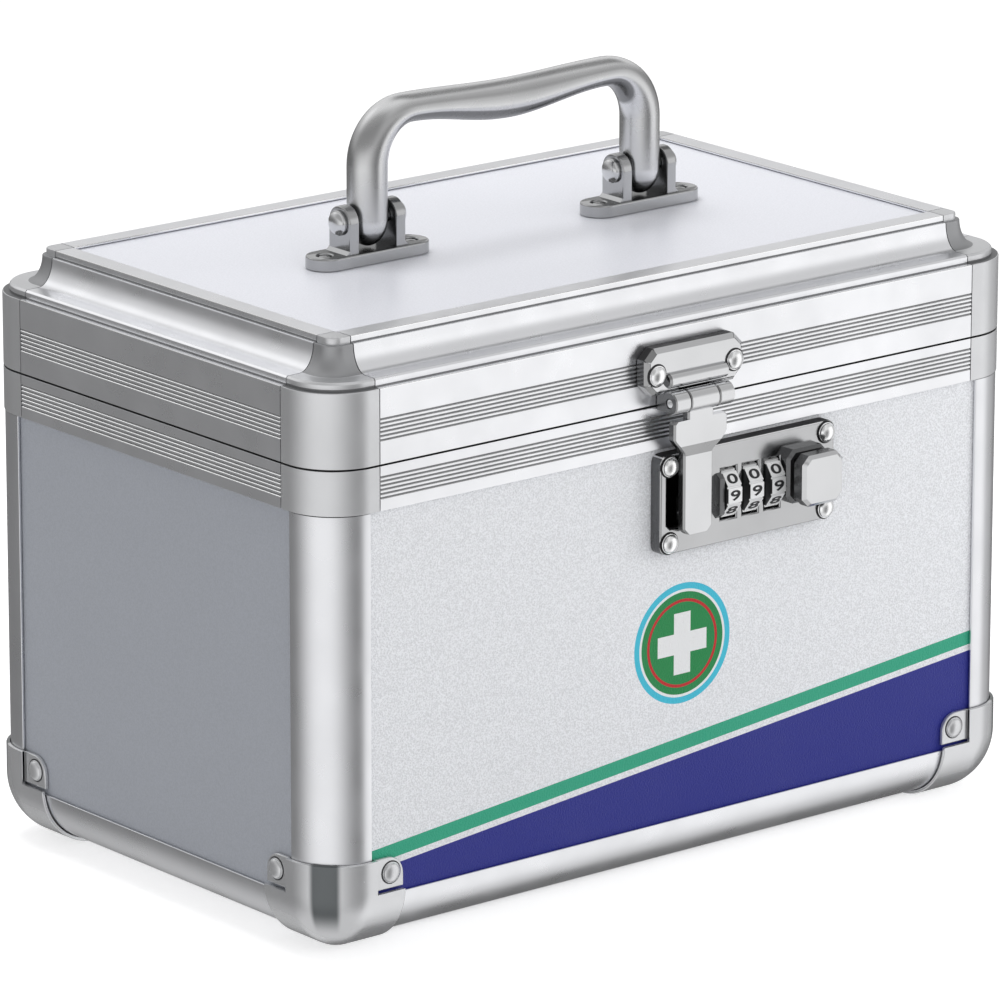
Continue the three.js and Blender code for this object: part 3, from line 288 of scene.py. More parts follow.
class Shape:
    """The closed shells of one piece, in millimetres from the datum."""

    def __init__(self) -> None:
        """Start empty."""
        self.vertices: list[Vector] = []
        self.faces: list[tuple[int, ...]] = []
        self.coats: list[int] = []

    def add(self, vertices: Iterable[Vector], faces: Iterable[Sequence[int]],
            coat: int = 0) -> Shape:
        """Append a shell.

        Args:
            vertices: Its points.
            faces: The points of each face, by their place in vertices.
            coat: Which of the piece's materials it gets.

        Returns:
            The shape.
        """
        first = len(self.vertices)
        self.vertices.extend(Vector(v) for v in vertices)
        self.faces.extend(tuple(first + i for i in face) for face in faces)
        self.coats.extend([coat] * (len(self.faces) - len(self.coats)))
        return self

    def skin(self, rings: Sequence[Ring], coat: int = 0) -> Shape:
        """Skin equal rings of points, with a cap at each end.

        Args:
            rings: Rings of the same number of points.
            coat: Which of the piece's materials it gets.

        Returns:
            The shape.
        """
        count = len(rings[0])
        faces = self.walls(0, count, len(rings))
        for base, ring in ((0, rings[0]), ((len(rings) - 1) * count, rings[-1])):
            faces.extend(tuple(base + i for i in face) for face in tessellate_polygon([ring]))
        return self.add([point for ring in rings for point in ring], faces, coat)

    @staticmethod
    def walls(first: int, count: int, rings: int) -> list[tuple[int, ...]]:
        """Join rings of vertices that follow one another.

        Args:
            first: The first ring's first vertex.
            count: Vertices in each ring.
            rings: How many rings there are.

        Returns:
            A face for each edge of each ring but the last.
        """
        return [(a, b, b + count, a + count) for start in
                (first + k * count for k in range(rings - 1)) for a, b in
                ((start + i, start + (i + 1) % count) for i in range(count))]

    def slab(self, plane: Plane, loops: Sequence[Loop], low: float, high: float,
             edge: float = 0.0, foot: float = 0.0, steps: int = 3) -> Shape:
        """Raise a plate from an outline and its holes.

        Args:
            plane: The plane of the outline.
            loops: The outer loop, then any holes.
            low: Depth of the back face.
            high: Depth of the front face.
            edge: Radius of the front edges.
            foot: Radius of the back edges.
            steps: Straight pieces in each rounded edge; 1 gives a chamfer.

        Returns:
            The shape.
        """
        bend = fan(0.0, QUARTER, steps)
        path = [(foot * (1 - math.sin(a)), low + foot * (1 - math.cos(a)))
                for a in bend] if foot else [(0.0, low)]
        path += [(edge * (1 - math.cos(a)), high - edge * (1 - math.sin(a)))
                 for a in bend] if edge else [(0.0, high)]
        vertices: list[Vector] = []
        faces: list[tuple[int, ...]] = []
        ends: list[list[tuple[int, Loop]]] = [[], []]
        for number, loop in enumerate(loops):
            loop = loop if (area(loop) > 0) == (number == 0) else loop[::-1]
            faces += self.walls(len(vertices), len(loop), len(path))
            for k, (inward, depth) in enumerate(path):
                moved = shifted(loop, inward) if inward else loop
                if k in (0, len(path) - 1):
                    ends[0 if k == 0 else 1].append((len(vertices), moved))
                vertices += [plane.at(u, v, depth) for u, v in moved]
        for end in ends:
            lookup = [start + i for start, loop in end for i in range(len(loop))]
            flat = [[Vector((u, v, 0.0)) for u, v in loop] for _, loop in end]
            faces += [tuple(lookup[i] for i in face) for face in tessellate_polygon(flat)]
        return self.add(vertices, faces)

    def lathe(self, profile: Loop, centre: Vector, axis: Vector, steps: int = 32,
              coat: int = 0) -> Shape:
        """Turn a profile of radius and height about an axis.

        Args:
            profile: Points from the axis to the axis.
            centre: The point of zero height.
            axis: The direction of growing height.
            steps: Pieces in a full turn.
            coat: Which of the piece's materials it gets.

        Returns:
            The shape.
        """
        turn = axis.to_track_quat("Z", "Y")
        return self.skin([[centre + turn @ Vector((r * math.cos(a), r * math.sin(a), h))
                           for a in fan(0.0, TURN, steps)[:-1]] for r, h in profile], coat)

    def dome(self, radius: float, height: float, root: float, centre: Vector, axis: Vector,
             steps: int = 32, ring: float = 0.0, coat: int = 0) -> Shape:
        """Add a domed rivet head with a short upright foot and a buried root.

        Args:
            radius: Radius of the head.
            height: Height of the head.
            root: How far it goes into its seat.
            centre: Middle of the head's foot.
            axis: The way it stands up.
            steps: Pieces in a full turn.
            ring: Width of the ring of painted shadow laid round the foot.
            coat: Which of the piece's materials the line gets.

        Returns:
            The shape.
        """
        lip, neck, bed = 0.05, 0.25, 0.3
        # A thin disc round the foot in a dark coat: painted shadow.
        if ring:
            self.lathe([(AXIS, -bed), (radius + ring, -bed), (radius + ring, lip), (AXIS, lip)],
                       centre, axis, steps, coat)
        foot = height / 3
        crown = arc((0.0, foot), (radius - neck, height - foot), 0.0, QUARTER, 8)
        profile = [(AXIS, -root), (radius - neck, -root), (radius - neck, -lip), (radius, lip),
                   (radius, foot - 0.2), (radius - 0.1, foot - lip)]
        return self.lathe(profile + crown[:-1] + [(AXIS, height)], centre, axis, steps)

    def rod(self, radius: float, start: Vector, end: Vector, edge: float = 0.2) -> Shape:
        """Add a round bar with slightly broken ends.

        Args:
            radius: Its radius.
            start: Middle of its first end.
            end: Middle of its other end.
            edge: How much of the ends' edges is broken.

        Returns:
            The shape.
        """
        length = (end - start).length
        profile = [(AXIS, 0.0), (radius - edge, 0.0), (radius, edge), (radius, length - edge),
                   (radius - edge, length), (AXIS, length)]
        return self.lathe(profile, start, end - start)

    def tube(self, outer: float, inner: float, start: Vector, end: Vector,
             edge: float) -> Shape:
        """Add a pipe with slightly broken outer edges.

        Args:
            outer: Its outer radius.
            inner: Its inner radius.
            start: Middle of its first end.
            end: Middle of its other end.
            edge: How much of the outer edges is broken.

        Returns:
            The shape.
        """
        steps, length = 40, (end - start).length
        turn = (end - start).to_track_quat("Z", "Y")
        profile = [(inner, 0.0), (outer - edge, 0.0), (outer, edge), (outer, length - edge),
                   (outer - edge, length), (inner, length)]
        count = len(profile)
        vertices = [start + turn @ Vector((r * math.cos(a), r * math.sin(a), h))
                    for a in fan(0.0, TURN, steps)[:-1] for r, h in profile]
        faces = [(i * count + k, ((i + 1) % steps) * count + k,
                  ((i + 1) % steps) * count + (k + 1) % count, i * count + (k + 1) % count)
                 for i in range(steps) for k in range(count)]
        return self.add(vertices, faces)

    def sweep(self, outline: Loop, places: Sequence[Place]) -> Shape:
        """Skin copies of one outline, each put in space by its own place."""
        return self.skin([[place(u, v) for u, v in outline] for place in places])

    def moved(self, matrix: Matrix) -> Shape:
        """Turn or shift every vertex so far and return the shape."""
        self.vertices = [matrix @ vertex for vertex in self.vertices]
        return self

    def join(self, other: Shape) -> Shape:
        """Append another shape's shells and return this shape."""
        self.add(other.vertices, other.faces).coats[-len(other.coats):] = other.coats
        return self

    def build(self, name: str, datum: Datum, smooth: float = 33.0) -> bpy.types.Object:
        """Make the Blender object.

        Args:
            name: The object's name.
            datum: Where the millimetres are measured from.
            smooth: Edges that turn less than this many degrees are shaded smooth.

        Returns:
            The linked object.
        """
        mesh = bpy.data.meshes.new(name)
        mesh.from_pydata([datum.world(v) for v in self.vertices], [], self.faces)
        mesh.polygons.foreach_set("material_index", self.coats)
        work = bmesh.new()
        work.from_mesh(mesh)
        bmesh.ops.remove_doubles(work, verts=work.verts, dist=WELD * MM)
        bmesh.ops.recalc_face_normals(work, faces=work.faces)
        work.to_mesh(mesh)
        work.free()
        mesh.shade_smooth()
        mesh.set_sharp_from_angle(angle=math.radians(smooth))
        piece = bpy.data.objects.new(name, mesh)
        bpy.context.collection.objects.link(piece)
        weighted = piece.modifiers.new("Flat faces stay flat", "WEIGHTED_NORMAL")
        weighted.keep_sharp = True
        return piece


# Shader nodes


class Graph:
    """Adds shader nodes and links them by socket name."""

    def __init__(self, tree: bpy.types.NodeTree) -> None:
        """Keep the node tree that the nodes go to."""
        self.tree = tree

    def feed(self, node: bpy.types.Node, inputs: dict[Any, Any]) -> None:
        """Set or link a node's inputs.

        Args:
            node: The node.
            inputs: Socket name or index to a value or to another node's output.
        """
        for key, value in inputs.items():
            if isinstance(value, bpy.types.NodeSocket):
                self.tree.links.new(value, node.inputs[key])
            else:
                node.inputs[key].default_value = value

    def add(self, kind: str, inputs: dict[Any, Any] | None = None,
            **settings: Any) -> bpy.types.Node:
        """Add a node.

        Args:
            kind: Node type without the ShaderNode prefix.
            inputs: Socket name or index to a value or to another node's output.
            **settings: Properties of the node.

        Returns:
            The node.
        """
        node = self.tree.nodes.new(kind if kind.startswith("Node") else f"ShaderNode{kind}")
        for key, value in settings.items():
            setattr(node, key, value)
        self.feed(node, inputs or {})
        return node

    def out(self, kind: str, inputs: dict[Any, Any] | None = None, output: int | str = 0,
            **settings: Any) -> Socket:
        """Add a node and return one of its outputs."""
        return self.add(kind, inputs, **settings).outputs[output]

    def math(self, operation: str, *values: Any) -> Socket:
        """Add a Math node and return its output."""
        return self.out("Math", dict(enumerate(values)), operation=operation)

    def vector(self, operation: str, *values: Any, output: int | str = 0) -> Socket:
        """Add a Vector Math node and return its output."""
        return self.out("VectorMath", dict(enumerate(values)), output, operation=operation)

    def split(self, vector: Socket) -> Any:
        """Return a vector's X, Y and Z."""
        return self.add("SeparateXYZ", {0: vector}).outputs

    def spot(self) -> Socket:
        """Return the place on the piece in its own coordinates."""
        return self.out("TexCoord", output="Object")

    def blend(self, under: Any, over: Any, factor: Any = 1.0,
              kind: str = "MULTIPLY") -> Socket:
        """Mix two colours.

        Args:
            under: The first colour, as three numbers or a socket.
            over: The second colour.
            factor: Share of the second.
            kind: How the second goes over the first.

        Returns:
            The mixed colour.
        """
        first, second = (value if isinstance(value, bpy.types.NodeSocket) else (*value, 1.0)
                         for value in (under, over))
        return self.out("Mix", {"Factor": factor, 6: first, 7: second}, 2,
                        data_type="RGBA", blend_type=kind)

    def fade(self, value: Socket, edge: Socket, blur: Socket, low: float = 1.0,
             high: float = 0.0) -> Socket:
        """Change smoothly from one level to another beyond an edge.

        Args:
            value: What is compared with the edge.
            edge: Where the change starts.
            blur: How long it takes.
            low: Level up to the edge.
            high: Level beyond the change.

        Returns:
            The level.
        """
        return self.out("MapRange", {"Value": value, "From Min": edge,
                                     "From Max": self.math("ADD", edge, blur),
                                     "To Min": low, "To Max": high},
                        interpolation_type="SMOOTHSTEP")

    def group(self, tree: bpy.types.NodeTree, **inputs: Any) -> Any:
        """Add a node group.

        Args:
            tree: The group's tree.
            **inputs: Input name, with underscores for spaces, to a value or a socket.

        Returns:
            The node's outputs.
        """
        node = self.add("Group", node_tree=tree)
        self.feed(node, {key.replace("_", " "): value for key, value in inputs.items()})
        return node.outputs


class Group(Graph):
    """A shader node group in the making."""

    def __init__(self, name: str, **defaults: Any) -> None:
        """Start the group with its inputs.

        Args:
            name: The group's name.
            **defaults: Input name, with underscores for spaces, to a number or a vector.
        """
        super().__init__(bpy.data.node_groups.new(name, "ShaderNodeTree"))
        for label, default in defaults.items():
            kind = "NodeSocketVector" if isinstance(default, tuple) else "NodeSocketFloat"
            self.tree.interface.new_socket(label.replace("_", " "), in_out="INPUT",
                                           socket_type=kind).default_value = default
        self.given = self.add("NodeGroupInput").outputs

    def close(self, **results: Socket) -> bpy.types.NodeTree:
        """Give the group its outputs.

        Args:
            **results: Output name to the socket that feeds it.

        Returns:
            The node tree.
        """
        for label, source in results.items():
            kind = "NodeSocketColor" if source.type == "RGBA" else "NodeSocketFloat"
            self.tree.interface.new_socket(label, in_out="OUTPUT", socket_type=kind)
        self.feed(self.add("NodeGroupOutput"), results)
        return self.tree


class Effects:
    """The node groups that the finishes share."""

    def __init__(self) -> None:
        """Build each group once."""
        self.make_mottle()
        self.make_grain()
        self.make_pebble()
        self.make_painted_reflection_band()

    def make_mottle(self) -> None:
        """Soft cloudy variation between two values."""
        group = Group("Mottle", Scale=60.0, Low=0.2, High=0.3)
        noise = group.out("TexNoise", {"Vector": group.spot(), "Scale": group.given["Scale"],
                                       "Detail": 4.0})
        self.mottle = group.close(Value=group.out("MapRange", {
            "Value": noise, "From Min": 0.3, "From Max": 0.7, "To Min": group.given["Low"],
            "To Max": group.given["High"]}))

    def make_grain(self) -> None:
        """Fine drawn streaks: stretch holds the noise's frequency along each axis."""
        group = Group("Drawn Grain", Stretch=(1.0, 1.0, 1.0))
        scaled = group.vector("MULTIPLY", group.spot(), group.given["Stretch"])
        self.grain = group.close(Height=group.out(
            "TexNoise", {"Vector": scaled, "Scale": 1.0, "Detail": 1.0}))

    def make_pebble(self) -> None:
        """The embossed skin of a coated board: small soft bumps with fine noise."""
        group = Group("Pebble Skin", Density=900.0, Contrast=0.06)
        density, contrast = group.given["Density"], group.given["Contrast"]
        spot = group.spot()
        cells = group.out("TexVoronoi", {"Vector": spot, "Scale": density, "Smoothness": 0.7},
                          "Distance", feature="SMOOTH_F1")
        noise = group.out("TexNoise", {"Vector": spot, "Detail": 1.0, "Roughness": 0.6,
                                       "Scale": group.math("MULTIPLY", density, 0.8)})
        # Shade follows the bumps' noise: partly the skin's own mottle, partly painted shade of the
        # relief.
        self.pebble = group.close(
            Height=group.math("ADD", group.math("MULTIPLY", cells, -0.7), noise),
            Shade=group.out("MapRange", {
                "Value": noise, "From Min": 0.35, "From Max": 0.65,
                "To Min": group.math("SUBTRACT", 1.0, contrast),
                "To Max": group.math("MULTIPLY_ADD", contrast, 0.5, 1.0)}))

    def make_painted_reflection_band(self) -> None:
        """A painted dark reflection band up a rounded corner: 1 inside, 0 outside.

        Corner is the round's axis from Centre; Middle and Half are the band's place and half
        width in radians; the band fades out over Fade above Foot.
        """
        group = Group("Corner Band", Centre=(0.0, 0.0, 0.0), Corner=(0.0, 0.0, 0.0), Middle=0.7,
                      Half=0.3, Blur=0.1, Foot=0.0, Fade=0.01)
        given = group.given
        offset = group.vector("SUBTRACT", group.spot(), given["Centre"])
        local = group.split(group.vector("SUBTRACT", group.vector("ABSOLUTE", offset),
                                         given["Corner"]))
        angle = group.math("ARCTAN2", local["Y"], local["X"])
        away = group.math("ABSOLUTE", group.math("SUBTRACT", angle, given["Middle"]))
        mask = group.fade(away, given["Half"], given["Blur"])
        above = group.fade(group.split(offset)["Z"], given["Foot"], given["Fade"], 0.0, 1.0)
        self.painted_reflection_band = group.close(Mask=group.math("MULTIPLY", mask, above))

    @staticmethod
    def painted_facing_shade(facing_shades: Sequence[Pair]) -> bpy.types.NodeTree:
        """Build a group that paints a grey shade by how far the surface faces up.

        Args:
            facing_shades: Place on the ramp, 0 facing down to 1 facing up, and its tone.

        Returns:
            The node tree.
        """
        group = Group("Upward Tone")
        up = group.split(group.out("TexCoord", output="Normal"))["Z"]
        ramp = group.add("ValToRGB", {0: group.math("MULTIPLY_ADD", up, 0.5, 0.5)})
        stops = ramp.color_ramp.elements
        stops[0].position, stops[1].position = facing_shades[0][0], facing_shades[-1][0]
        for place, _ in facing_shades[1:-1]:
            stops.new(place)
        for stop, (_, tone) in zip(stops, facing_shades):
            stop.color = (tone, tone, tone, 1.0)
        return group.close(Tone=ramp.outputs[0])


def new_material(name: str) -> tuple[bpy.types.Material, Graph, bpy.types.Node]:
    """Start a material.

    Args:
        name: The material's name.

    Returns:
        The material, its graph and its Principled BSDF.
    """
    material = bpy.data.materials.new(name)
    material.use_nodes = True
    return material, Graph(material.node_tree), material.node_tree.nodes["Principled BSDF"]


@dataclass(frozen=True)
class Coating:
    """A finish: a tint with a fine relief and cloudy roughness.

    Attributes:
        name: The material's name.
        colour: Linear reflectance.
        roughness: Least and greatest roughness.
        metallic: Share of metal in the shading.
        depth: Height of the relief in millimetres.
        cloud: Scale of the roughness's variation, per metre.
    """

    name: str
    colour: Triple
    roughness: Pair
    metallic: float = 1.0
    depth: float = 0.004
    cloud: float = 90.0

    def relief(self, graph: Graph, effects: Effects) -> tuple[Socket, Socket]:
        """Return the shade and the height of the relief."""
        raise NotImplementedError

    def worked(self, graph: Graph, effects: Effects, colour: Socket) -> Socket:
        """Return the colour with what the finish adds to it."""
        return colour

    def material(self, effects: Effects) -> bpy.types.Material:
        """Build the shader.

        Args:
            effects: The shared node groups.

        Returns:
            The material.
        """
        material, graph, shader = new_material(self.name)
        shade, height = self.relief(graph, effects)
        rough = graph.group(effects.mottle, Scale=self.cloud, Low=self.roughness[0],
                            High=self.roughness[1])
        bump = graph.out("Bump", {"Strength": 1.0, "Distance": self.depth * MM,
                                  "Height": height})
        colour = self.worked(graph, effects, graph.blend(self.colour, shade))
        graph.feed(shader, {"Base Color": colour, "Roughness": rough["Value"], "Normal": bump,
                            "Metallic": self.metallic})
        return material


@dataclass(frozen=True)
class Metal(Coating):
    """A metal finish with drawn grain.

    Attributes:
        stretch: The grain's frequency along X, Y and Z, per metre.
        tint: Least and greatest share of the colour in the clouds.
    """

    stretch: Triple = (400.0, 400.0, 400.0)
    tint: Pair = (0.96, 1.04)

    def relief(self, graph: Graph, effects: Effects) -> tuple[Socket, Socket]:
        """Return the shade of the clouds and the height of the grain."""
        return (graph.group(effects.mottle, Scale=self.cloud / 3, Low=self.tint[0],
                            High=self.tint[1])["Value"],
                graph.group(effects.grain, Stretch=self.stretch)["Height"])


@dataclass(frozen=True)
class PaintedReflectionGuard(Metal):
    """Chromed steel with a painted dark reflection band up the round of the corner.

    All fields but the band's own colour are the inputs of Effects.painted_reflection_band, in
    metres and radians.
    """

    # Colour of the painted dark reflection band.
    dark: Triple = (0.13, 0.14, 0.145)
    centre: Triple = (0.0, 0.0, 0.0)
    corner: Triple = (0.1146, 0.06535, 0.0)
    middle: float = 0.705
    half: float = 0.2
    blur: float = 0.12
    foot: float = -0.1366
    fade: float = 0.008

    def worked(self, graph: Graph, effects: Effects, colour: Socket) -> Socket:
        """Return the colour with the painted reflection band."""
        band = graph.group(effects.painted_reflection_band, Centre=self.centre, Corner=self.corner,
                           Middle=self.middle, Half=self.half, Blur=self.blur, Foot=self.foot,
                           Fade=self.fade)
        return graph.blend(colour, self.dark, band["Mask"], "MIX")


@dataclass(frozen=True)
class FacingShadedBar(Metal):
    """A drawn bar with painted shade on its underside and a painted dark reflection on its
    shoulder.

    Attributes:
        facing_shades: Upward share of the surface's normal, from 0 below to 1 above, and its tone.
    """

    facing_shades: tuple[Pair, ...] = (
        (0.0, 0.22), (0.3, 0.3), (0.345, 0.82), (0.44, 0.85), (0.53, 0.7), (0.63, 0.55),
        (0.75, 0.55), (0.84, 0.7), (0.92, 0.95), (0.985, 1.0))

    def worked(self, graph: Graph, effects: Effects, colour: Socket) -> Socket:
        """Return the colour with its painted shade."""
        return graph.blend(colour, graph.group(effects.painted_facing_shade(self.facing_shades))["Tone"])


@dataclass(frozen=True)
class Board(Coating):
    """A coated board with an embossed skin.

    Attributes:
        density: Bumps per metre.
        contrast: How much the colour changes between them.
    """

    metallic: float = 0.0
    cloud: float = 40.0
    density: float = 2400.0
    contrast: float = 0.06

    def relief(self, graph: Graph, effects: Effects) -> tuple[Socket, Socket]:
        """Return the shade and the height of the skin."""
        skin = graph.group(effects.pebble, Density=self.density, Contrast=self.contrast)
        return skin["Shade"], skin["Height"]


@dataclass(frozen=True)
class PrintedBoard(Board):
    """The front board: a first-aid cross on a plain disc above two bands of colour."""

    datum: Triple = (0.0, 0.0, 0.0)
    blue: Triple = (0.016, 0.022, 0.25)
    teal: Triple = (0.028, 0.39, 0.235)
    green: Triple = (0.008, 0.245, 0.065)
    sky: Triple = (0.05, 0.54, 0.72)
    red: Triple = (0.54, 0.012, 0.018)
    white: Triple = (0.86, 0.87, 0.88)
    disc_centre: Pair = (1.3, -73.0)
    disc_radius: float = 18.0
    rim_width: float = 1.9
    gap: float = 0.8
    ring_radius: float = 13.2
    ring_width: float = 0.9
    cross_reach: float = 9.2
    cross_half: float = 3.1
    slope: float = 0.095
    band_top: float = -107.5
    stripe: Pair = (-105.6, -101.4)
    face: float = 70.0

    def worked(self, graph: Graph, effects: Effects, colour: Socket) -> Socket:
        """Print the sign and the bands on the outside of the board.

        Args:
            graph: The material's graph.
            effects: The shared node groups.
            colour: The bare board's colour.

        Returns:
            The printed colour.
        """
        local = graph.vector("SUBTRACT", graph.spot(), self.datum)
        x, y, z = graph.split(graph.out("VectorMath", {0: local, "Scale": 1 / MM},
                                        operation="SCALE"))
        outside = graph.math("GREATER_THAN", graph.math("ABSOLUTE", y), self.face)
        across, along = (graph.math("ABSOLUTE", graph.math("SUBTRACT", value, middle))
                         for value, middle in zip((x, z), self.disc_centre))
        spread = graph.math("SQRT", graph.math("ADD", graph.math("MULTIPLY", across, across),
                                               graph.math("MULTIPLY", along, along)))
        cross = graph.math(
            "MULTIPLY",
            graph.math("LESS_THAN", graph.math("MAXIMUM", across, along), self.cross_reach),
            graph.math("LESS_THAN", graph.math("MINIMUM", across, along), self.cross_half))
        height = graph.math("SUBTRACT", z, graph.math("MULTIPLY", x, self.slope))
        stripe = graph.math("MULTIPLY", graph.math("GREATER_THAN", height, self.stripe[0]),
                            graph.math("LESS_THAN", height, self.stripe[1]))
        inner = self.disc_radius - self.rim_width
        discs = ((self.disc_radius, self.sky), (inner, self.white), (inner - self.gap, self.green),
                 (self.ring_radius, self.red), (self.ring_radius - self.ring_width, self.green))
        layers = [(graph.math("LESS_THAN", spread, radius), ink) for radius, ink in discs]
        layers += [(cross, self.white), (stripe, self.teal),
                   (graph.math("LESS_THAN", height, self.band_top), self.blue)]
        for mask, ink in layers:
            colour = graph.blend(colour, ink, graph.math("MULTIPLY", mask, outside), "MIX")
        return colour


class Finish(Enum):
    """The record's material slots."""

    FRONT_BOARD = "front_board"
    SIDE_BOARD = "side_board"
    LID_BOARD = "lid_board"
    ALUMINIUM = "frame_aluminium"
    CASTING = "cast_corner"
    CHROME = "chrome"
    SATIN = "satin_chrome"
    PLATED = "plated_dial"
    DARK = "dark_steel"


def coatings(middle: Triple) -> dict[str, Coating]:
    """List the finishes by their slot, and the further ones by their own label.

    Args:
        middle: The datum's place, in metres.

    Returns:
        Label to finish.
    """
    drawn = (12.0, 700.0, 700.0)
    return {
        # Pressed guard with a painted dark reflection band up each corner.
        "guard": PaintedReflectionGuard("pressed_guard", (0.70, 0.706, 0.72), (0.2, 0.28), 0.7, 0.002,
                                centre=middle),
        "ink": Metal("digit_ink", (0.012, 0.012, 0.014), (0.4, 0.5), 0.0),
        "dial_side": Metal("dial_side", (0.12, 0.122, 0.125), (0.3, 0.42), 0.9),
        # Painted shadow: black put where shade falls, in gaps, the seam, round rivet feet and on
        # top walls.
        "painted_shadow": Metal("painted_shadow_black", (0.02, 0.02, 0.022), (0.4, 0.6), 0.2),
        "rim": Metal("rim_aluminium", (0.92, 0.926, 0.95), (0.26, 0.33), depth=0.002,
                     stretch=drawn),
        "line": Metal("groove_shade", (0.25, 0.252, 0.258), (0.4, 0.5)),
        # Painted highlight on rounded edges, upward groove facets and rivet heads.
        "edge": Metal("painted_highlight", (0.97, 0.972, 0.98), (0.2, 0.26)),
        # Painted shade in the casting's ledge corner and in its cove.
        "cast_line": Metal("cast_shade", (0.3, 0.303, 0.31), (0.5, 0.58)),
        "painted_cove_shade": Metal("painted_cove_shade", (0.44, 0.444, 0.455), (0.48, 0.54)),
        "shade": Metal("shaded_chrome", (0.15, 0.152, 0.156), (0.22, 0.3), 0.9),
        # Painted half shade on slanted faces and on the lever's crank.
        "painted_half_shade": Metal("painted_half_shade_chrome", (0.36, 0.362, 0.366), (0.2, 0.28)),
        "plate": Metal("lock_chrome", (0.49, 0.493, 0.5), (0.16, 0.22), depth=0.001),
        "bracket": Metal("bracket_chrome", (0.44, 0.443, 0.45), (0.14, 0.2), depth=0.001),
        # Handle bar with painted shade and reflection by which way its surface faces.
        "bar": FacingShadedBar("handle_bar", (0.86, 0.864, 0.872), (0.24, 0.3), depth=0.001),
        "front_board": PrintedBoard(
            "front_board", (0.88, 0.893, 0.925), (0.45, 0.55), depth=0.16, density=2500.0,
            contrast=0.15, datum=middle, face=-Sizes().panel_front - 0.3),
        # Darker than the front board: partly the board's own colour, partly painted shade of the
        # side away from the light.
        "side_board": Board("side_board", (0.44, 0.462, 0.51), (0.45, 0.55), depth=0.012),
        "lid_board": Board("lid_board", (0.85, 0.862, 0.925), (0.28, 0.34), depth=0.006),
        "frame_aluminium": Metal("frame_aluminium", (0.83, 0.836, 0.86), (0.26, 0.33),
                                 depth=0.002, stretch=drawn),
        "cast_corner": Metal("cast_corner", (0.71, 0.716, 0.73), (0.31, 0.38), 0.8, 0.006),
        "chrome": Metal("chrome", (0.65, 0.654, 0.664), (0.13, 0.2), depth=0.001),
        "satin_chrome": Metal("satin_chrome", (0.74, 0.745, 0.75), (0.2, 0.28), depth=0.002),
        "plated_dial": Metal("plated_dial", (0.86, 0.865, 0.87), (0.25, 0.35), 0.35),
        "dark_steel": Metal("dark_steel", (0.05, 0.052, 0.055), (0.4, 0.55), 0.7),
    }


class Workshop:
    """Builds pieces, gives them their finish and binds them to the frame."""

    def __init__(self, frame: dict[str, Any], datum: Datum) -> None:
        """Mix the finishes.

        Args:
            datum: Where the millimetres are measured from.
        """
        self.nodes: dict[str, bpy.types.Object] = frame["nodes"]
        self.datum = datum
        effects = Effects()
        self.materials = {label: coating.material(effects)
                          for label, coating in coatings(tuple(datum.origin)).items()}

    def paint(self, piece: bpy.types.Object, *labels: str) -> None:
        """Replace a piece's materials.

        Args:
            piece: The piece or CAD node.
            *labels: The new materials' labels.
        """
        piece.data.materials.clear()
        for label in labels:
            piece.data.materials.append(self.materials[label])

    def make(self, name: str, shape: Shape, finish: Finish, body: str, *nodes: str,
             coat: str = "", extra: Sequence[str] = (), choose: Chooser | None = None,
             smooth: float = 33.0) -> None:
        """Build a piece and bind it.

        Args:
            name: The piece's name.
            shape: Its shells.
            finish: Its material slot.
            body: The CAD body it rides on.
            *nodes: The CAD nodes it stands for.
            coat: Label of a variant material, if the slot's own isn't used.
            extra: Labels of further materials.
            choose: Picks a face's material by its middle in millimetres and its normal, where
                the shape hasn't picked one.
            smooth: Greatest angle shaded smooth, in degrees.
        """
        piece = shape.build(name, self.datum, smooth)
        coats = [face.material_index for face in piece.data.polygons]
        self.paint(piece, coat or finish.value, *extra)
        for face, picked in zip(piece.data.polygons, coats):
            middle = (face.center - self.datum.origin) / MM
            face.material_index = picked or (choose(middle, face.normal) if choose else 0)
        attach(piece, body)
        if nodes:
            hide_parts(*nodes)
        LOG.info("%s: %d faces", name, len(piece.data.polygons))

    def keep(self, finish: Finish, *nodes: str) -> None:
        """Give CAD nodes their finish.

        Args:
            finish: Their material slot.
            *nodes: Their names.
        """
        for name in nodes:
            self.paint(self.nodes[name], finish.value)
            LOG.info("%s: kept from the CAD", name)


# Frame


@dataclass(frozen=True)
class Sizes:
    """Sizes that several assemblies share."""

    half_width: float = 130.0
    half_depth: float = 80.75
    stand: float = 143.1
    seam_gap: float = 0.45
    joint_gap: float = 0.3
    fit: float = 0.25
    casting_radius: float = 19.4
    lid_band: float = 22.0
    body_band: float = 13.2
    panel_thickness: float = 3.0
    lid_panel_top: float = 33.4
    rim_top: float = 34.4
    casting_round: float = 16.2
    post_round: float = 14.8
    frame_radius: float = 18.2
    frame_inset: float = 0.6
    panel_recess: float = 1.1
    guard_outer: float = 19.5
    guard_round: float = 16.1

    @property
    def frame_centre(self) -> float:
        """Centre of the rails' round from a band's outer face."""
        return self.frame_inset + self.frame_radius

    @property
    def corner_drop(self) -> float:
        """Depth of the lower corners' centres below the seam."""
        return self.stand - self.guard_outer

    @property
    def panel_front(self) -> float:
        """Where the front panel's face lies along Y."""
        return -(self.half_depth - self.frame_inset - self.panel_recess)


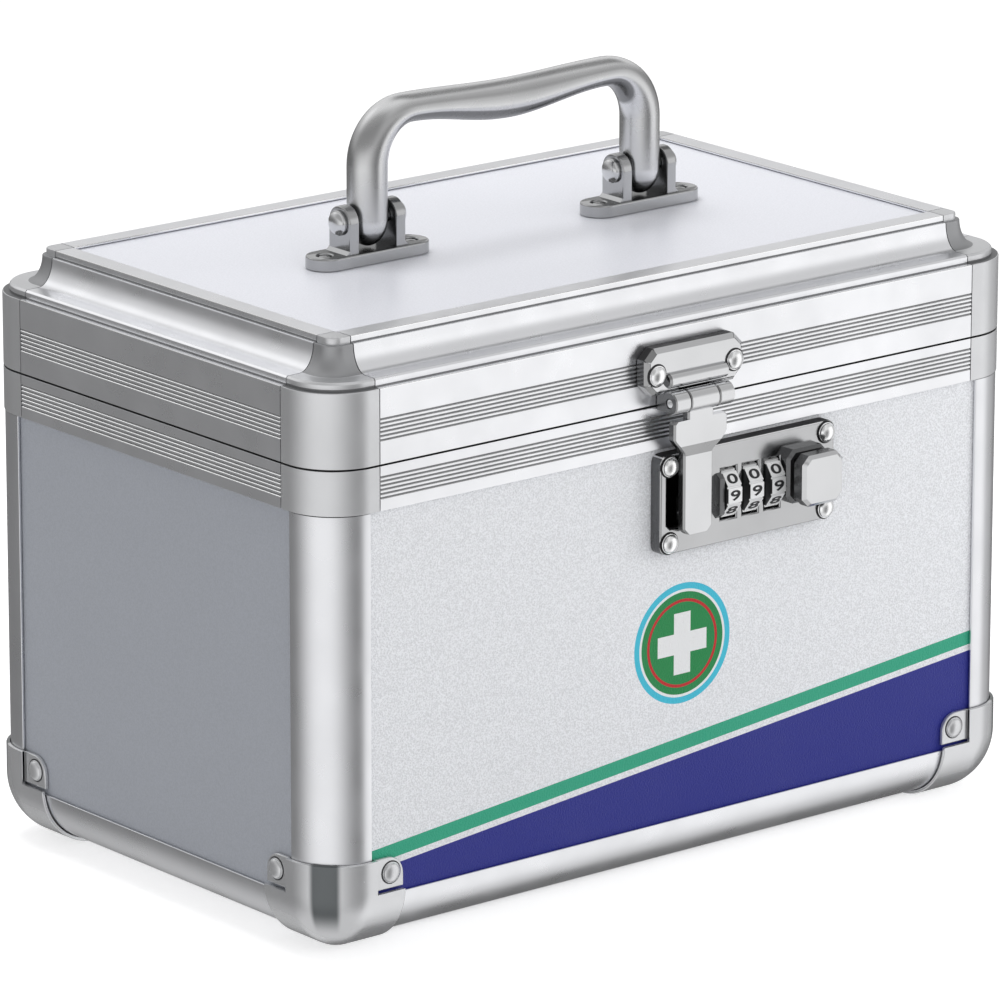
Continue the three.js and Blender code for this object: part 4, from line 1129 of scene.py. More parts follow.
class Side(Enum):
    """The four sides, each with the corner at its right end."""

    FRONT = (0, "front", "front_right")
    RIGHT = (1, "right", "rear_right")
    REAR = (2, "rear", "rear_left")
    LEFT = (3, "left", "front_left")

    def __init__(self, quarters: int, label: str, corner: str) -> None:
        """Keep the names.

        Args:
            quarters: Quarter turns that take the front to this side.
            label: The side's name.
            corner: The name of the corner at its right end.
        """
        self.label, self.corner, self.along_y = label, corner, quarters % 2 == 1
        self.turn = Matrix.Rotation(quarters * QUARTER, 4, "Z")

    def spans(self, sizes: Sizes) -> Pair:
        """Return half the side's length and its distance from the middle of the box."""
        pair = (sizes.half_width, sizes.half_depth)
        return pair[::-1] if self.along_y else pair


@dataclass
class Assembly:
    """A sub-assembly: its sizes, and the workshop that makes its pieces."""

    shop: Workshop
    sizes: Sizes

    def build(self) -> None:
        """Make and bind the pieces."""
        raise NotImplementedError


@dataclass
class FrameAssembly(Assembly):
    """Straight profiles between four corner pieces."""

    groove_start: float = 3.1
    groove_count: int = 6
    groove_pitch: float = 1.2
    groove_width: float = 0.72
    groove_depth: float = 0.42
    soft: float = 0.3
    turn_steps: int = 28

    def grooves(self, direction: int) -> Loop:
        """List the points of the fine grooves along a band.

        Args:
            direction: 1 up from the seam, -1 down.

        Returns:
            Inset and height of each point.
        """
        feet = [self.groove_start + i * self.groove_pitch for i in range(self.groove_count)]
        return [point for foot in feet for point in (
            (0.0, direction * foot),
            (self.groove_depth, direction * (foot + self.groove_width / 2)),
            (0.0, direction * (foot + self.groove_width)))]

    @property
    def bar_gap(self) -> float:
        """Distance of the rims' ends from the corners."""
        return self.sizes.casting_radius + self.sizes.joint_gap

    def eased(self, loop: Loop) -> Loop:
        """Round a profile's corners where the edges beside them are long enough."""
        return soften(loop, self.soft, 2, 0.5, 0.65)

    @staticmethod
    def groove_painted_light(normal: Vector) -> int:
        """Pick a groove's coat: 1 painted shade facing down, 2 painted highlight facing up, or 0.
        """
        steep = 0.6 < abs(normal.z) < 0.8
        return (2 if normal.z > 0 else 1) if steep else 0

    def bar(self, outline: Loop, side: Side, gap: float) -> Shape:
        """Lay a straight profile along a side.

        Args:
            outline: Its profile.
            side: The side.
            gap: Distance of its ends from the corners.

        Returns:
            The profile.
        """
        run, reach = side.spans(self.sizes)
        return Shape().sweep([(u - reach, v) for u, v in outline],
                             along_x((gap - run, run - gap))).moved(side.turn)

    def casting(self, outline: Loop, side: Side) -> Shape:
        """Turn a profile round a side's right corner, with a short flat either side.

        Args:
            outline: Its profile.
            side: The side.

        Returns:
            The casting.
        """
        places = corner_places(*side.spans(self.sizes), self.sizes.casting_radius,
                               self.sizes.casting_round, self.turn_steps)
        return Shape().sweep(outline, places).moved(side.turn)


@dataclass
class LidFrame(FrameAssembly):
    """The lid's grooved and coved rim and its four corner castings."""

    groove_start: float = 6.8
    wall: float = 1.8
    ledge_inset: float = 2.1
    rib: float = 2.5
    rib_chamfer: float = 0.6
    cove_inset: float = 6.6
    cove_width: float = 5.1
    cove_height: float = 7.9
    cove_wall: float = 1.6
    rim_step: float = 1.2
    panel_bite: float = 4.3
    panel_lip: float = 1.2
    line: float = 0.4
    cast_line: float = 0.6
    cove_steps: int = 16

    @property
    def foot(self) -> float:
        """Height of the cove's lower end."""
        return self.sizes.lid_band + self.rib

    @property
    def cove_top(self) -> float:
        """Height of the cove's upper end."""
        return self.foot + self.cove_height

    def outline(self, straight: bool) -> Loop:
        """Draw the profile.

        Args:
            straight: Whether it is a straight one, with grooves and a slot for the panel.

        Returns:
            Inset and height of each point.
        """
        s = self.sizes
        foot, cove_top = self.foot, self.cove_top
        rim_inset = self.cove_inset + self.cove_width + self.rim_step
        lip_inset = s.casting_radius - self.panel_bite - s.fit
        slot_top, slot_foot = s.lid_panel_top + s.fit, s.lid_panel_top - s.panel_thickness - s.fit
        lip_foot = slot_foot - self.panel_lip
        inner_height = self.cove_height + self.cove_wall
        middle = (self.cove_inset, cove_top)
        slot = [(s.casting_radius, slot_top), (lip_inset, slot_top), (lip_inset, slot_foot),
                (s.casting_radius, slot_foot)]
        return self.eased([
            (0.0, s.seam_gap / 2), *(self.grooves(1) if straight else []),
            (0.0, s.lid_band), (self.ledge_inset, s.lid_band),
            (self.ledge_inset, s.lid_band + (self.line if straight else self.cast_line)),
            (self.ledge_inset, foot - self.rib_chamfer),
            (self.ledge_inset + self.rib_chamfer, foot),
            *arc(middle, (self.cove_width, self.cove_height), -QUARTER, 0.0, self.cove_steps),
            (rim_inset, cove_top), (rim_inset, cove_top + self.line),
            (rim_inset, s.rim_top), (s.casting_radius, s.rim_top),
            *(slot if straight else []), (s.casting_radius, lip_foot),
            *arc(middle, (self.cove_width + self.cove_wall, inner_height),
                 math.asin((lip_foot - cove_top) / inner_height), -QUARTER, self.cove_steps),
            (self.ledge_inset + self.cove_wall, cove_top - inner_height),
            (self.wall, foot - 2 * self.cove_wall), (self.wall, s.seam_gap / 2)])

    def painted_light_lines(self, middle: Vector, normal: Vector) -> int:
        """Paint shade in the inner corners of the steps and the seam, and highlights on the edges.

        Args:
            middle: Middle of a face.
            normal: Its normal.

        Returns:
            The face's coat.
        """
        s = self.sizes
        upright, flat = 0.1, 0.9
        steps = (s.lid_band, self.cove_top)
        if (normal.z < -flat and middle.z < s.seam_gap or normal.z < upright
                and any(0 < middle.z - step < self.line for step in steps)):
            return 1
        if middle.z < s.lid_band - self.soft:
            return self.groove_painted_light(normal)
        near = min(abs(middle.z - height) for height in (s.lid_band, s.rim_top))
        return 2 if near < self.soft and 2 * upright < normal.z < 0.97 else 0

    def cast(self, middle: Vector, _: Vector) -> int:
        """Pick the coat: 1 painted shade in the ledge's corner, 2 painted shade in the cove, or 0.
        """
        line = -0.01 < middle.z - self.sizes.lid_band < self.cast_line
        return 1 if line else 2 if self.foot + 0.2 < middle.z < self.cove_top + 0.1 else 0

    def build(self) -> None:
        """Make the rims and castings."""
        for side in Side:
            self.shop.make(f"lid_rim_{side.label}_profile",
                           self.bar(self.outline(True), side, self.bar_gap), Finish.ALUMINIUM,
                           "lid", f"lid_rim_{side.label}", coat="rim", extra=("line", "edge"),
                           choose=self.painted_light_lines)
            self.shop.make(f"lid_casting_{side.corner}", self.casting(self.outline(False), side),
                           Finish.CASTING, "lid", f"lid_corner_{side.corner}",
                           extra=("cast_line", "painted_cove_shade"), choose=self.cast)


@dataclass
class BodyFrame(FrameAssembly):
    """The body's grooved rim, its castings, the corner posts and the bottom rails."""

    lid_wall: float = 1.8
    rim_width: float = 5.9
    rim_bite: float = 4.7
    tongue_height: float = 4.0
    tongue_width: float = 1.6
    tongue_clearance: float = 0.5
    tongue_chamfer: float = 0.5
    tongue_foot: float = 0.8
    lip_reach: float = 2.0
    panel_bite: float = 1.75
    flange: float = 1.1
    inner_flat: float = 4.0

    def rim_outline(self, straight: bool) -> Loop:
        """Draw the rim's profile.

        Args:
            straight: Whether it is a straight one, with grooves.

        Returns:
            Inset and height of each point.
        """
        s = self.sizes
        top, foot = -s.seam_gap / 2, -s.body_band
        face = self.lid_wall + self.tongue_clearance
        back = face + self.tongue_width
        tongue_top = top + self.tongue_height
        panel = s.frame_inset + s.panel_recess
        outer, inner = panel - s.fit, panel + s.panel_thickness + s.fit
        slot_top = self.rim_bite + s.fit + foot
        return self.eased([
            (outer, foot), (outer, slot_top), (inner, slot_top), (inner, foot),
            (self.rim_width, foot), (self.rim_width, slot_top + self.rim_width - back),
            (back, top), (back, tongue_top), (face + self.tongue_chamfer, tongue_top),
            (face, tongue_top - self.tongue_chamfer), (face, top + self.tongue_foot),
            (face, top), (0.0, top), *(self.grooves(-1) if straight else []), (0.0, foot)])

    def section(self, radius: float) -> Loop:
        """Draw a post's or rail's section about the centre of its round.

        Args:
            radius: The round's radius; a tighter one leaves a short flat beside it.

        Returns:
            The outline.
        """
        s = self.sizes
        face = radius - s.panel_recess
        outer, inner = face + s.fit, face - s.panel_thickness - s.fit
        lip = self.lip_reach - (s.frame_radius - radius)
        flange, end = inner - self.flange, lip + self.panel_bite + s.fit
        side = ([(radius, lip)] if lip < 0 else []) + [
            (outer, lip), (outer, end), (inner, end), (inner, lip), (flange, lip),
            (flange, lip + self.inner_flat)]
        turn = math.asin(max(lip, 0.0) / radius)
        bend = arc((0.0, 0.0), radius, QUARTER - turn, turn, self.turn_steps)
        return soften(bend + side + [(v, u) for u, v in reversed(side)], self.soft, 3, 0.5)

    def post(self, side: Side) -> Shape:
        """Raise the post at a side's right end.

        Args:
            side: The side.

        Returns:
            The post.
        """
        s = self.sizes
        (run, reach), inset = side.spans(s), s.frame_inset + s.post_round
        x, y = run - inset, inset - reach
        return Shape().sweep(self.section(s.post_round), [
            lambda u, v, z=z: Vector((x + u, y - v, z))
            for z in (s.joint_gap / 2 - s.corner_drop, -s.body_band - s.fit)]).moved(side.turn)

    def cast_seam(self, middle: Vector, _: Vector) -> int:
        """Pick the coat: painted shade, 1 on the rim's top in the seam and 3 on the tongue's foot,
        or 0.
        """
        rise = middle.z + self.sizes.seam_gap / 2
        return 1 if abs(rise) < 0.05 else 3 if 0 < rise < self.tongue_foot else 0

    def seam(self, middle: Vector, normal: Vector) -> int:
        """Paint shade in the seam as on the castings, and groove light and shade as on the lid."""
        return self.cast_seam(middle, normal) or (self.groove_painted_light(normal) if middle.z < 0 else 0)

    def build(self) -> None:
        """Make the rims, castings, posts and rails."""
        s, make, coats = self.sizes, self.shop.make, ("line", "edge", "painted_shadow")
        rail = [(s.frame_centre - u, -s.corner_drop - v) for u, v in self.section(s.frame_radius)]
        for side in Side:
            make(f"body_rim_{side.label}_profile",
                 self.bar(self.rim_outline(True), side, self.bar_gap), Finish.ALUMINIUM, "body",
                 f"body_rim_{side.label}", coat="rim", extra=coats, choose=self.seam)
            make(f"body_casting_{side.corner}", self.casting(self.rim_outline(False), side),
                 Finish.CASTING, "body", f"body_rim_corner_{side.corner}", extra=coats,
                 choose=self.cast_seam)
            make(f"post_{side.corner}", self.post(side), Finish.ALUMINIUM, "body",
                 f"corner_post_{side.corner}")
            make(f"rail_{side.label}", self.bar(rail, side, s.frame_centre + s.joint_gap / 2),
                 Finish.ALUMINIUM, "body", f"bottom_rail_{side.label}")


@dataclass
class CornerGuards(Assembly):
    """Pressed guards over the four lower corners, each with three riveted tabs."""

    thickness: float = 1.05
    reach: float = 9.1
    fold: float = 0.38
    tab_reach: float = 9.0
    tab_round: float = 5.5
    notch: float = 0.75
    step: float = 1.0
    riser: float = 0.75
    rivet_radius: float = 3.1
    rivet_height: float = 1.4
    base_rivet_height: float = 0.7
    rivet_inset: float = 4.5
    # Width of the painted shadow ring round each rivet.
    rivet_shadow_ring: float = 0.35
    steps: int = 24

    @staticmethod
    def cyclic(turns: int) -> Matrix:
        """Return the change of axes that takes X to Y to Z."""
        return Matrix([Matrix.Identity(3)[(i - turns) % 3] for i in range(3)]).to_4x4()

    def arm(self) -> Shape:
        """Press the arm along one rail, with a rounded free end.

        Returns:
            The arm.
        """
        outer, inner = self.sizes.guard_outer, self.sizes.guard_outer - self.thickness
        start = math.asin(self.step / outer)
        end = QUARTER - start
        loop = arc((0.0, 0.0), outer, start, end, self.steps) + arc(
            (0.0, 0.0), inner, end, start, self.steps)
        return Shape().slab(Plane.TOP, [loop], -self.reach, self.step, foot=self.fold)

    def shell(self) -> Shape:
        """Press the rounded corner with the arm up the post.

        Returns:
            The shell.
        """
        outer, inner = self.sizes.guard_outer, self.sizes.guard_outer - self.thickness
        end, edge = math.acos(self.step / outer), self.fold
        bends = arc((0.0, 0.0), outer, 0.0, end, self.steps) + arc(
            (0.0, 0.0), inner, end, 0.0, self.steps)
        outline = [(self.thickness, -self.reach), (edge, -self.reach),
                   (edge * 0.3, edge * 0.3 - self.reach), (0.0, edge - self.reach),
                   *((outer - u, v) for u, v in bends)]
        return Shape().sweep(outline, corner_places(
            outer, outer, outer - self.step, self.sizes.guard_round, self.steps, 1.0))

    def tab(self, rivet_height: float) -> Shape:
        """Press one tab with its riser towards +X, notch towards +Y and face towards +Z.

        Args:
            rivet_height: Height of the rivet's head.

        Returns:
            The tab and its rivet.
        """
        s = self.sizes
        inner = s.frame_radius - s.panel_recess + s.fit
        face = inner + self.thickness
        riser_end, notch_edge = self.step + self.riser, self.step - self.notch
        turn = self.tab_round - self.tab_reach
        plate = arc((turn, turn), self.tab_round, 2 * QUARTER, 3 * QUARTER, 12) + [
            (riser_end, -self.tab_reach), (riser_end, notch_edge), (-self.tab_reach, notch_edge)]
        wall = rectangle(self.step, -self.tab_reach, riser_end, notch_edge)
        shape = Shape().slab(Plane.TOP, [plate], inner, face, edge=0.35)
        shape.slab(Plane.TOP, [wall], inner, s.guard_outer - s.fit / 2, edge=0.2)
        return shape.dome(self.rivet_radius, rivet_height, self.thickness / 2,
                          Vector((-self.rivet_inset, -self.rivet_inset, face)),
                          Vector((0, 0, 1)), ring=self.rivet_shadow_ring, coat=1)

    def guard(self) -> Shape:
        """Join a guard about the centre of its round, faces towards +X, +Y and +Z.

        Returns:
            The guard.
        """
        shape = self.shell()
        for turns in (1, 2):
            shape.join(self.arm().moved(self.cyclic(turns)))
        swap = Matrix(((1, 0, 0), (0, 0, 1), (0, 1, 0))).to_4x4()
        for turn in (swap, self.cyclic(1)):
            shape.join(self.tab(self.rivet_height).moved(turn))
        return shape.join(self.tab(self.base_rivet_height))

    def build(self) -> None:
        """Make the four guards."""
        s = self.sizes
        mirror = Matrix.Diagonal((1.0, -1.0, -1.0, 1.0))
        for side in Side:
            run, reach = side.spans(s)
            place = Matrix.Translation((run - s.frame_centre, s.frame_centre - reach,
                                        -s.corner_drop))
            self.shop.make(f"guard_{side.corner}",
                           self.guard().moved(side.turn @ place @ mirror), Finish.CHROME, "body",
                           f"corner_guard_{side.corner}", coat="guard", extra=("painted_shadow",))


# Handle


@dataclass
class CarryHandle(Assembly):
    """The cast handle with its two brackets and riveted pivots."""

    pitch: float = 102.0
    leg: float = 5.95
    tip: float = 8.2
    tip_start: float = 0.15
    pivot_height: float = 12.4
    rise: float = 34.7
    dip: float = 1.0
    thin: float = 8.6
    middle: float = 11.7
    bend_outer: float = 19.5
    bend_inner: float = 8.7
    plate_length: float = 42.0
    plate_width: float = 12.0
    plate_thickness: float = 3.5
    plate_edge: float = 0.55
    hole_pitch: float = 31.4
    hole_radius: float = 2.3
    screw: tuple[Pair, ...] = (
        (AXIS, -2.0), (1.75, -2.0), (1.75, -0.25), (1.4, 0.0), (AXIS, 0.08))
    screw_drop: float = 0.35
    ear_thickness: float = 3.5
    ear_radius: float = 4.9
    ear_gap: float = 13.4
    ear_foot: float = 1.4
    ear_hollow: float = 0.35
    ear_sink: float = 0.2
    ear_edge: float = 0.4
    pin_radius: float = 1.9
    head_radius: float = 3.7
    head_height: float = 2.2
    ring_steps: int = 36
    tip_steps: int = 8
    bend_steps: int = 16
    grip_steps: int = 18

    @property
    def pivot(self) -> float:
        """Height of the pivots above the seam."""
        return self.sizes.lid_panel_top + self.pivot_height

    def stations(self) -> list[tuple[Vector, Vector, float]]:
        """Place the sections along the handle.

        Returns:
            Inner point, outer point and half depth of each.
        """
        half, pivot, leg = self.pitch / 2, self.pivot, self.leg
        top = pivot + self.rise
        outer_x, outer_z = half + leg - self.bend_outer, top - self.bend_outer
        inner_x = half - leg - self.bend_inner
        under = top - self.thin
        line: list[tuple[Vector, Vector, float]] = []
        for angle in (QUARTER * (i + self.tip_start) / self.tip_steps
                      for i in range(self.tip_steps)):
            radius, height = leg * math.sin(angle), pivot - self.tip * math.cos(angle)
            line.append((Vector((half - radius, height)), Vector((half + radius, height)), radius))
        line.append((Vector((half - leg, pivot)), Vector((half + leg, pivot)), leg))
        for angle in fan(0.0, QUARTER, self.bend_steps):
            cos, sin = math.cos(angle), math.sin(angle)
            line.append((
                Vector((inner_x + self.bend_inner * cos, outer_z + (under - outer_z) * sin)),
                Vector((outer_x + self.bend_outer * cos, outer_z + self.bend_outer * sin)), leg))
        belly = top - self.dip - self.middle
        for share in (1 - i / self.grip_steps for i in range(1, self.grip_steps + 1)):
            swell = (1 + math.cos(math.pi * share)) / 2
            line.append((Vector((inner_x * share, under + (belly - under) * swell)),
                         Vector((outer_x * share, top - self.dip * swell)), leg))
        return line + [(Vector((-a.x, a.y)), Vector((-b.x, b.y)), depth)
                       for a, b, depth in reversed(line[:-1])]

    def grip(self) -> Shape:
        """Cast the handle.

        Returns:
            The handle.
        """
        rings = []
        for inner, outer, depth in self.stations():
            middle, reach = (inner + outer) / 2, (outer - inner) / 2
            rings.append([Vector((middle.x + reach.x * math.cos(a), depth * math.sin(a),
                                  middle.y + reach.y * math.cos(a)))
                          for a in fan(0.0, TURN, self.ring_steps)[:-1]])
        return Shape().skin(rings)

    def bracket(self, x: float) -> Shape:
        """Make the riveted plate with its two ears.

        Args:
            x: Where its pivot lies.

        Returns:
            The bracket.
        """
        base = self.sizes.lid_panel_top + self.sizes.fit
        top = base + self.plate_thickness
        end, radius = (self.plate_length - self.plate_width) / 2, self.plate_width / 2
        plate = arc((end, 0.0), radius, -QUARTER, QUARTER, 20) + arc(
            (-end, 0.0), radius, QUARTER, 3 * QUARTER, 20)
        holes = [circle((side * self.hole_pitch / 2, 0.0), self.hole_radius)
                 for side in (1, -1)]
        shape = Shape().slab(Plane.TOP, [plate, *holes], base, top, edge=self.plate_edge)
        axis = (0.0, self.pivot)
        ear = [(self.ear_radius, base), *arc(axis, self.ear_radius, 0.0, 2 * QUARTER, 20),
               (-self.ear_radius, base)]
        bore = circle(axis, self.pin_radius + self.sizes.fit)
        foot, edge, hollow = self.ear_foot, self.ear_edge, self.ear_foot * self.ear_hollow
        sunk = top - self.ear_sink
        for side in (1, -1):
            near = side * self.ear_gap / 2
            far = side * (self.ear_gap / 2 + self.ear_thickness)
            shape.slab(Plane.END, [ear, bore], min(near, far), max(near, far), edge, edge)
            wedge = [(far - side * edge, sunk), (far + side * foot, sunk),
                     (far + side * hollow, top + hollow), (far - side * edge, top + foot)]
            shape.sweep(wedge, [lambda u, v, y=y: Vector((u, y, v))
                                for y in (-self.ear_radius, self.ear_radius)])
            seat = Vector((side * self.hole_pitch / 2, 0.0, top - self.screw_drop))
            shape.lathe(list(self.screw), seat, Vector((0, 0, 1)), 24)
        return shape.moved(Matrix.Translation((x, 0.0, 0.0)))

    def pin(self, x: float) -> Shape:
        """Make a pivot with its two domed heads.

        Args:
            x: Where it lies.

        Returns:
            The pivot.
        """
        face = self.ear_gap / 2 + self.ear_thickness + self.sizes.fit
        ends = [Vector((x + side * face, 0.0, self.pivot)) for side in (1, -1)]
        shape = Shape().rod(self.pin_radius, ends[1], ends[0])
        for side, end in zip((1, -1), ends):
            shape.dome(self.head_radius, self.head_height, 0.2, end, Vector((side, 0, 0)))
        return shape

    def build(self) -> None:
        """Make the handle, brackets and pivots."""
        self.shop.make("grip", self.grip(), Finish.SATIN, "carry_handle", "handle", coat="bar",
                       smooth=60)
        for label, x in (("left", -self.pitch / 2), ("right", self.pitch / 2)):

            def between(middle: Vector, normal: Vector, x: float = x) -> int:
                """Shade what lies between the ears."""
                inside = abs(middle.x - x) < self.ear_gap / 2 + 0.3
                return 1 if inside and (abs(normal.x) > 0.7 or normal.z > 0.9) else 0

            self.shop.make(f"bracket_{label}", self.bracket(x), Finish.CHROME, "lid",
                           f"handle_bracket_{label}", coat="bracket", extra=("shade",),
                           choose=between)
            self.shop.make(f"pivot_{label}", self.pin(x), Finish.CHROME, "lid",
                           f"handle_pin_{label}")


# Hasp and lock


@dataclass
class Hasp(Assembly):
    """The plate on the lid, its hinge and the lever with its staple."""

    centre: float = 0.2
    plate_width: float = 36.4
    plate_height: float = 13.9
    plate_foot: float = 4.2
    plate_thickness: float = 4.4
    chamfer: float = 3.2
    bevel: float = 1.4
    rivet_pitch: float = 28.8
    rivet_rise: float = 6.2
    rivet_radius: float = 3.0
    rivet_height: float = 1.9
    # Width of the painted shadow ring round each rivet.
    rivet_shadow_ring: float = 0.45
    axis_standoff: float = 6.0
    axis_height: float = 1.85
    barrel: float = 3.45
    barrel_length: float = 22.0
    knuckle: float = 10.4
    web_starts: Pair = (1.6, 1.9)
    web_trims: Pair = (0.45, 0.55)
    web_gap: float = 0.3
    pin_radius: float = 1.2
    bead_radius: float = 2.3
    bead_height: float = 8.3
    bead_edge: float = 0.6
    lever_thickness: float = 2.5
    lever_edge: float = 0.55
    lever_rows: tuple[Pair, ...] = (
        (-3.6, 4.8), (-3.65, 9.1), (-4.45, 9.95), (-9.0, 9.95), (-9.6, 9.6), (-11.2, 8.15),
        (-13.6, 5.85), (-14.2, 5.5), (-14.6, 5.42), (-36.1, 5.4), (-36.4, 5.32), (-37.9, 3.85),
        (-38.0, 3.6))
    crank: float = 1.0
    crank_start: float = -11.2
    crank_end: float = -14.6
    staple_width: float = 3.8
    staple_depth: float = 5.1
    staple_cut: float = 0.8
    staple: Pair = (-36.3, -28.0)
    eye: Pair = (-35.2, -32.9)
    eye_walls: Pair = (2.5, 0.6)

    @property
    def axis_y(self) -> float:
        """Where the hinge's axis lies along Y."""
        return -(self.sizes.half_depth + self.axis_standoff)

    @property
    def plate_front(self) -> float:
        """Distance of the plate's face in front of the middle of the box."""
        return self.sizes.half_depth + self.sizes.fit + self.plate_thickness

    def axis(self, x: float) -> Vector:
        """Return the point of the hinge's axis at this place along X."""
        return Vector((x, self.axis_y, self.axis_height))

    def plate(self) -> Shape:
        """Cast the plate with its bead, outer knuckles and rivets.

        Returns:
            The plate.
        """
        fit, low, front = self.sizes.fit, self.plate_foot, self.plate_front
        back = self.sizes.half_depth + fit
        left, right = self.centre - self.plate_width / 2, self.centre + self.plate_width / 2
        loop = chamfered((left, low, right, low + self.plate_height), self.chamfer)
        shape = Shape().slab(Plane.FRONT, [soften(loop, 0.5, 2, 0.5)], back, front,
                             edge=self.bevel, steps=1)
        half, inner = self.barrel_length / 2, self.knuckle / 2 + fit
        high = self.axis_height + self.barrel
        foot = self.axis_height - self.barrel + self.web_trims[1]
        web = [(self.axis_y + self.web_starts[0], high - self.web_trims[0]),
               (self.axis_y + self.web_starts[1], foot), (-back, foot), (-back, high)]
        for start, end in ((self.centre - half, self.centre - inner),
                           (self.centre + inner, self.centre + half)):
            shape.tube(self.barrel, self.pin_radius + fit, self.axis(start), self.axis(end), 0.35)
            shape.sweep(web, along_x((start + self.web_gap, end - self.web_gap)))
        shape.rod(self.bead_radius, *(Vector((self.centre + end, -front, self.bead_height))
                                      for end in (-half, half)), self.bead_edge)
        for side in (1, -1):
            place = Vector((self.centre + side * self.rivet_pitch / 2, -front,
                            low + self.rivet_rise))
            shape.dome(self.rivet_radius, self.rivet_height, 1.0, place, Vector((0, -1, 0)),
                       ring=self.rivet_shadow_ring, coat=2)
        return shape

    def lever(self) -> Shape:
        """Cast the lever with its knuckle and staple.

        Returns:
            The lever.
        """
        fit, edge, thick = self.sizes.fit, self.lever_edge, self.lever_thickness
        front = self.axis_y - thick / 2
        blade = front + thick + self.crank
        rings = []
        for height, half in ((self.axis_height, self.lever_rows[0][1]), *self.lever_rows):
            share = (self.crank_start - height) / (self.crank_start - self.crank_end)
            shift = front + self.crank * min(max(share, 0.0), 1.0)
            section = [(-half + edge, 0.0), (half - edge, 0.0), (half, edge), (half, thick),
                       (-half, thick), (-half, edge)]
            rings.append([Vector((self.centre + u, shift + v, height)) for u, v in section])
        half = self.knuckle / 2
        shape = Shape().skin(rings)
        shape.tube(self.barrel, self.pin_radius + fit, self.axis(self.centre - half),
                   self.axis(self.centre + half), 0.3)
        back, cut, (low, high) = blade + self.staple_depth, self.staple_cut, self.staple
        loop = [(blade - fit, low), (back - cut, low), (back, low + cut), (back, high - cut),
                (back - cut, high), (blade - fit, high)]
        eye = rectangle(back - self.eye_walls[0], self.eye[0], back - self.eye_walls[1],
                        self.eye[1])
        half = self.staple_width / 2
        return shape.slab(Plane.END, [loop, eye], self.centre - half, self.centre + half)

    def cheek(self, middle: Vector, normal: Vector) -> int:
        """Paint shade on the walls and left bevel, shadow on the top wall, highlight on the
        rivets.

        Args:
            middle: Middle of a face.
            normal: Its normal.

        Returns:
            The face's coat.
        """
        proud = middle.y < -self.plate_front - 0.1
        if proud and abs(middle.x - self.centre) > self.barrel_length / 2:
            return 4
        if abs(normal.x) > SIDEWAYS:
            return 1
        bevel = middle.z > self.plate_foot + self.plate_height - self.chamfer
        if normal.y > -0.3 and normal.z > 0.3 and bevel:
            return 2
        return 3 if normal.x < -0.4 and normal.y < -0.3 else 0

    def cranked(self, middle: Vector, normal: Vector) -> int:
        """Pick the coat: painted shade, 1 on the side walls, 2 on the slanted ones and the crank,
        or 0.
        """
        crank = self.crank_end < middle.z < self.crank_start and normal.y < 0
        return 1 if abs(normal.x) > SIDEWAYS else 2 if abs(normal.x) > 0.4 or crank else 0

    def build(self) -> None:
        """Make the plate and lever."""
        self.shop.make("hasp_plate_cast", self.plate(), Finish.CHROME, "lid", "hasp_plate",
                       extra=("shade", "painted_shadow", "painted_half_shade", "edge"), choose=self.cheek)
        self.shop.make("hasp_lever_cast", self.lever(), Finish.CHROME, "lever", "hasp_lever",
                       extra=("shade", "painted_half_shade"), choose=self.cranked, smooth=24)
        self.shop.keep(Finish.SATIN, "hasp_pin")


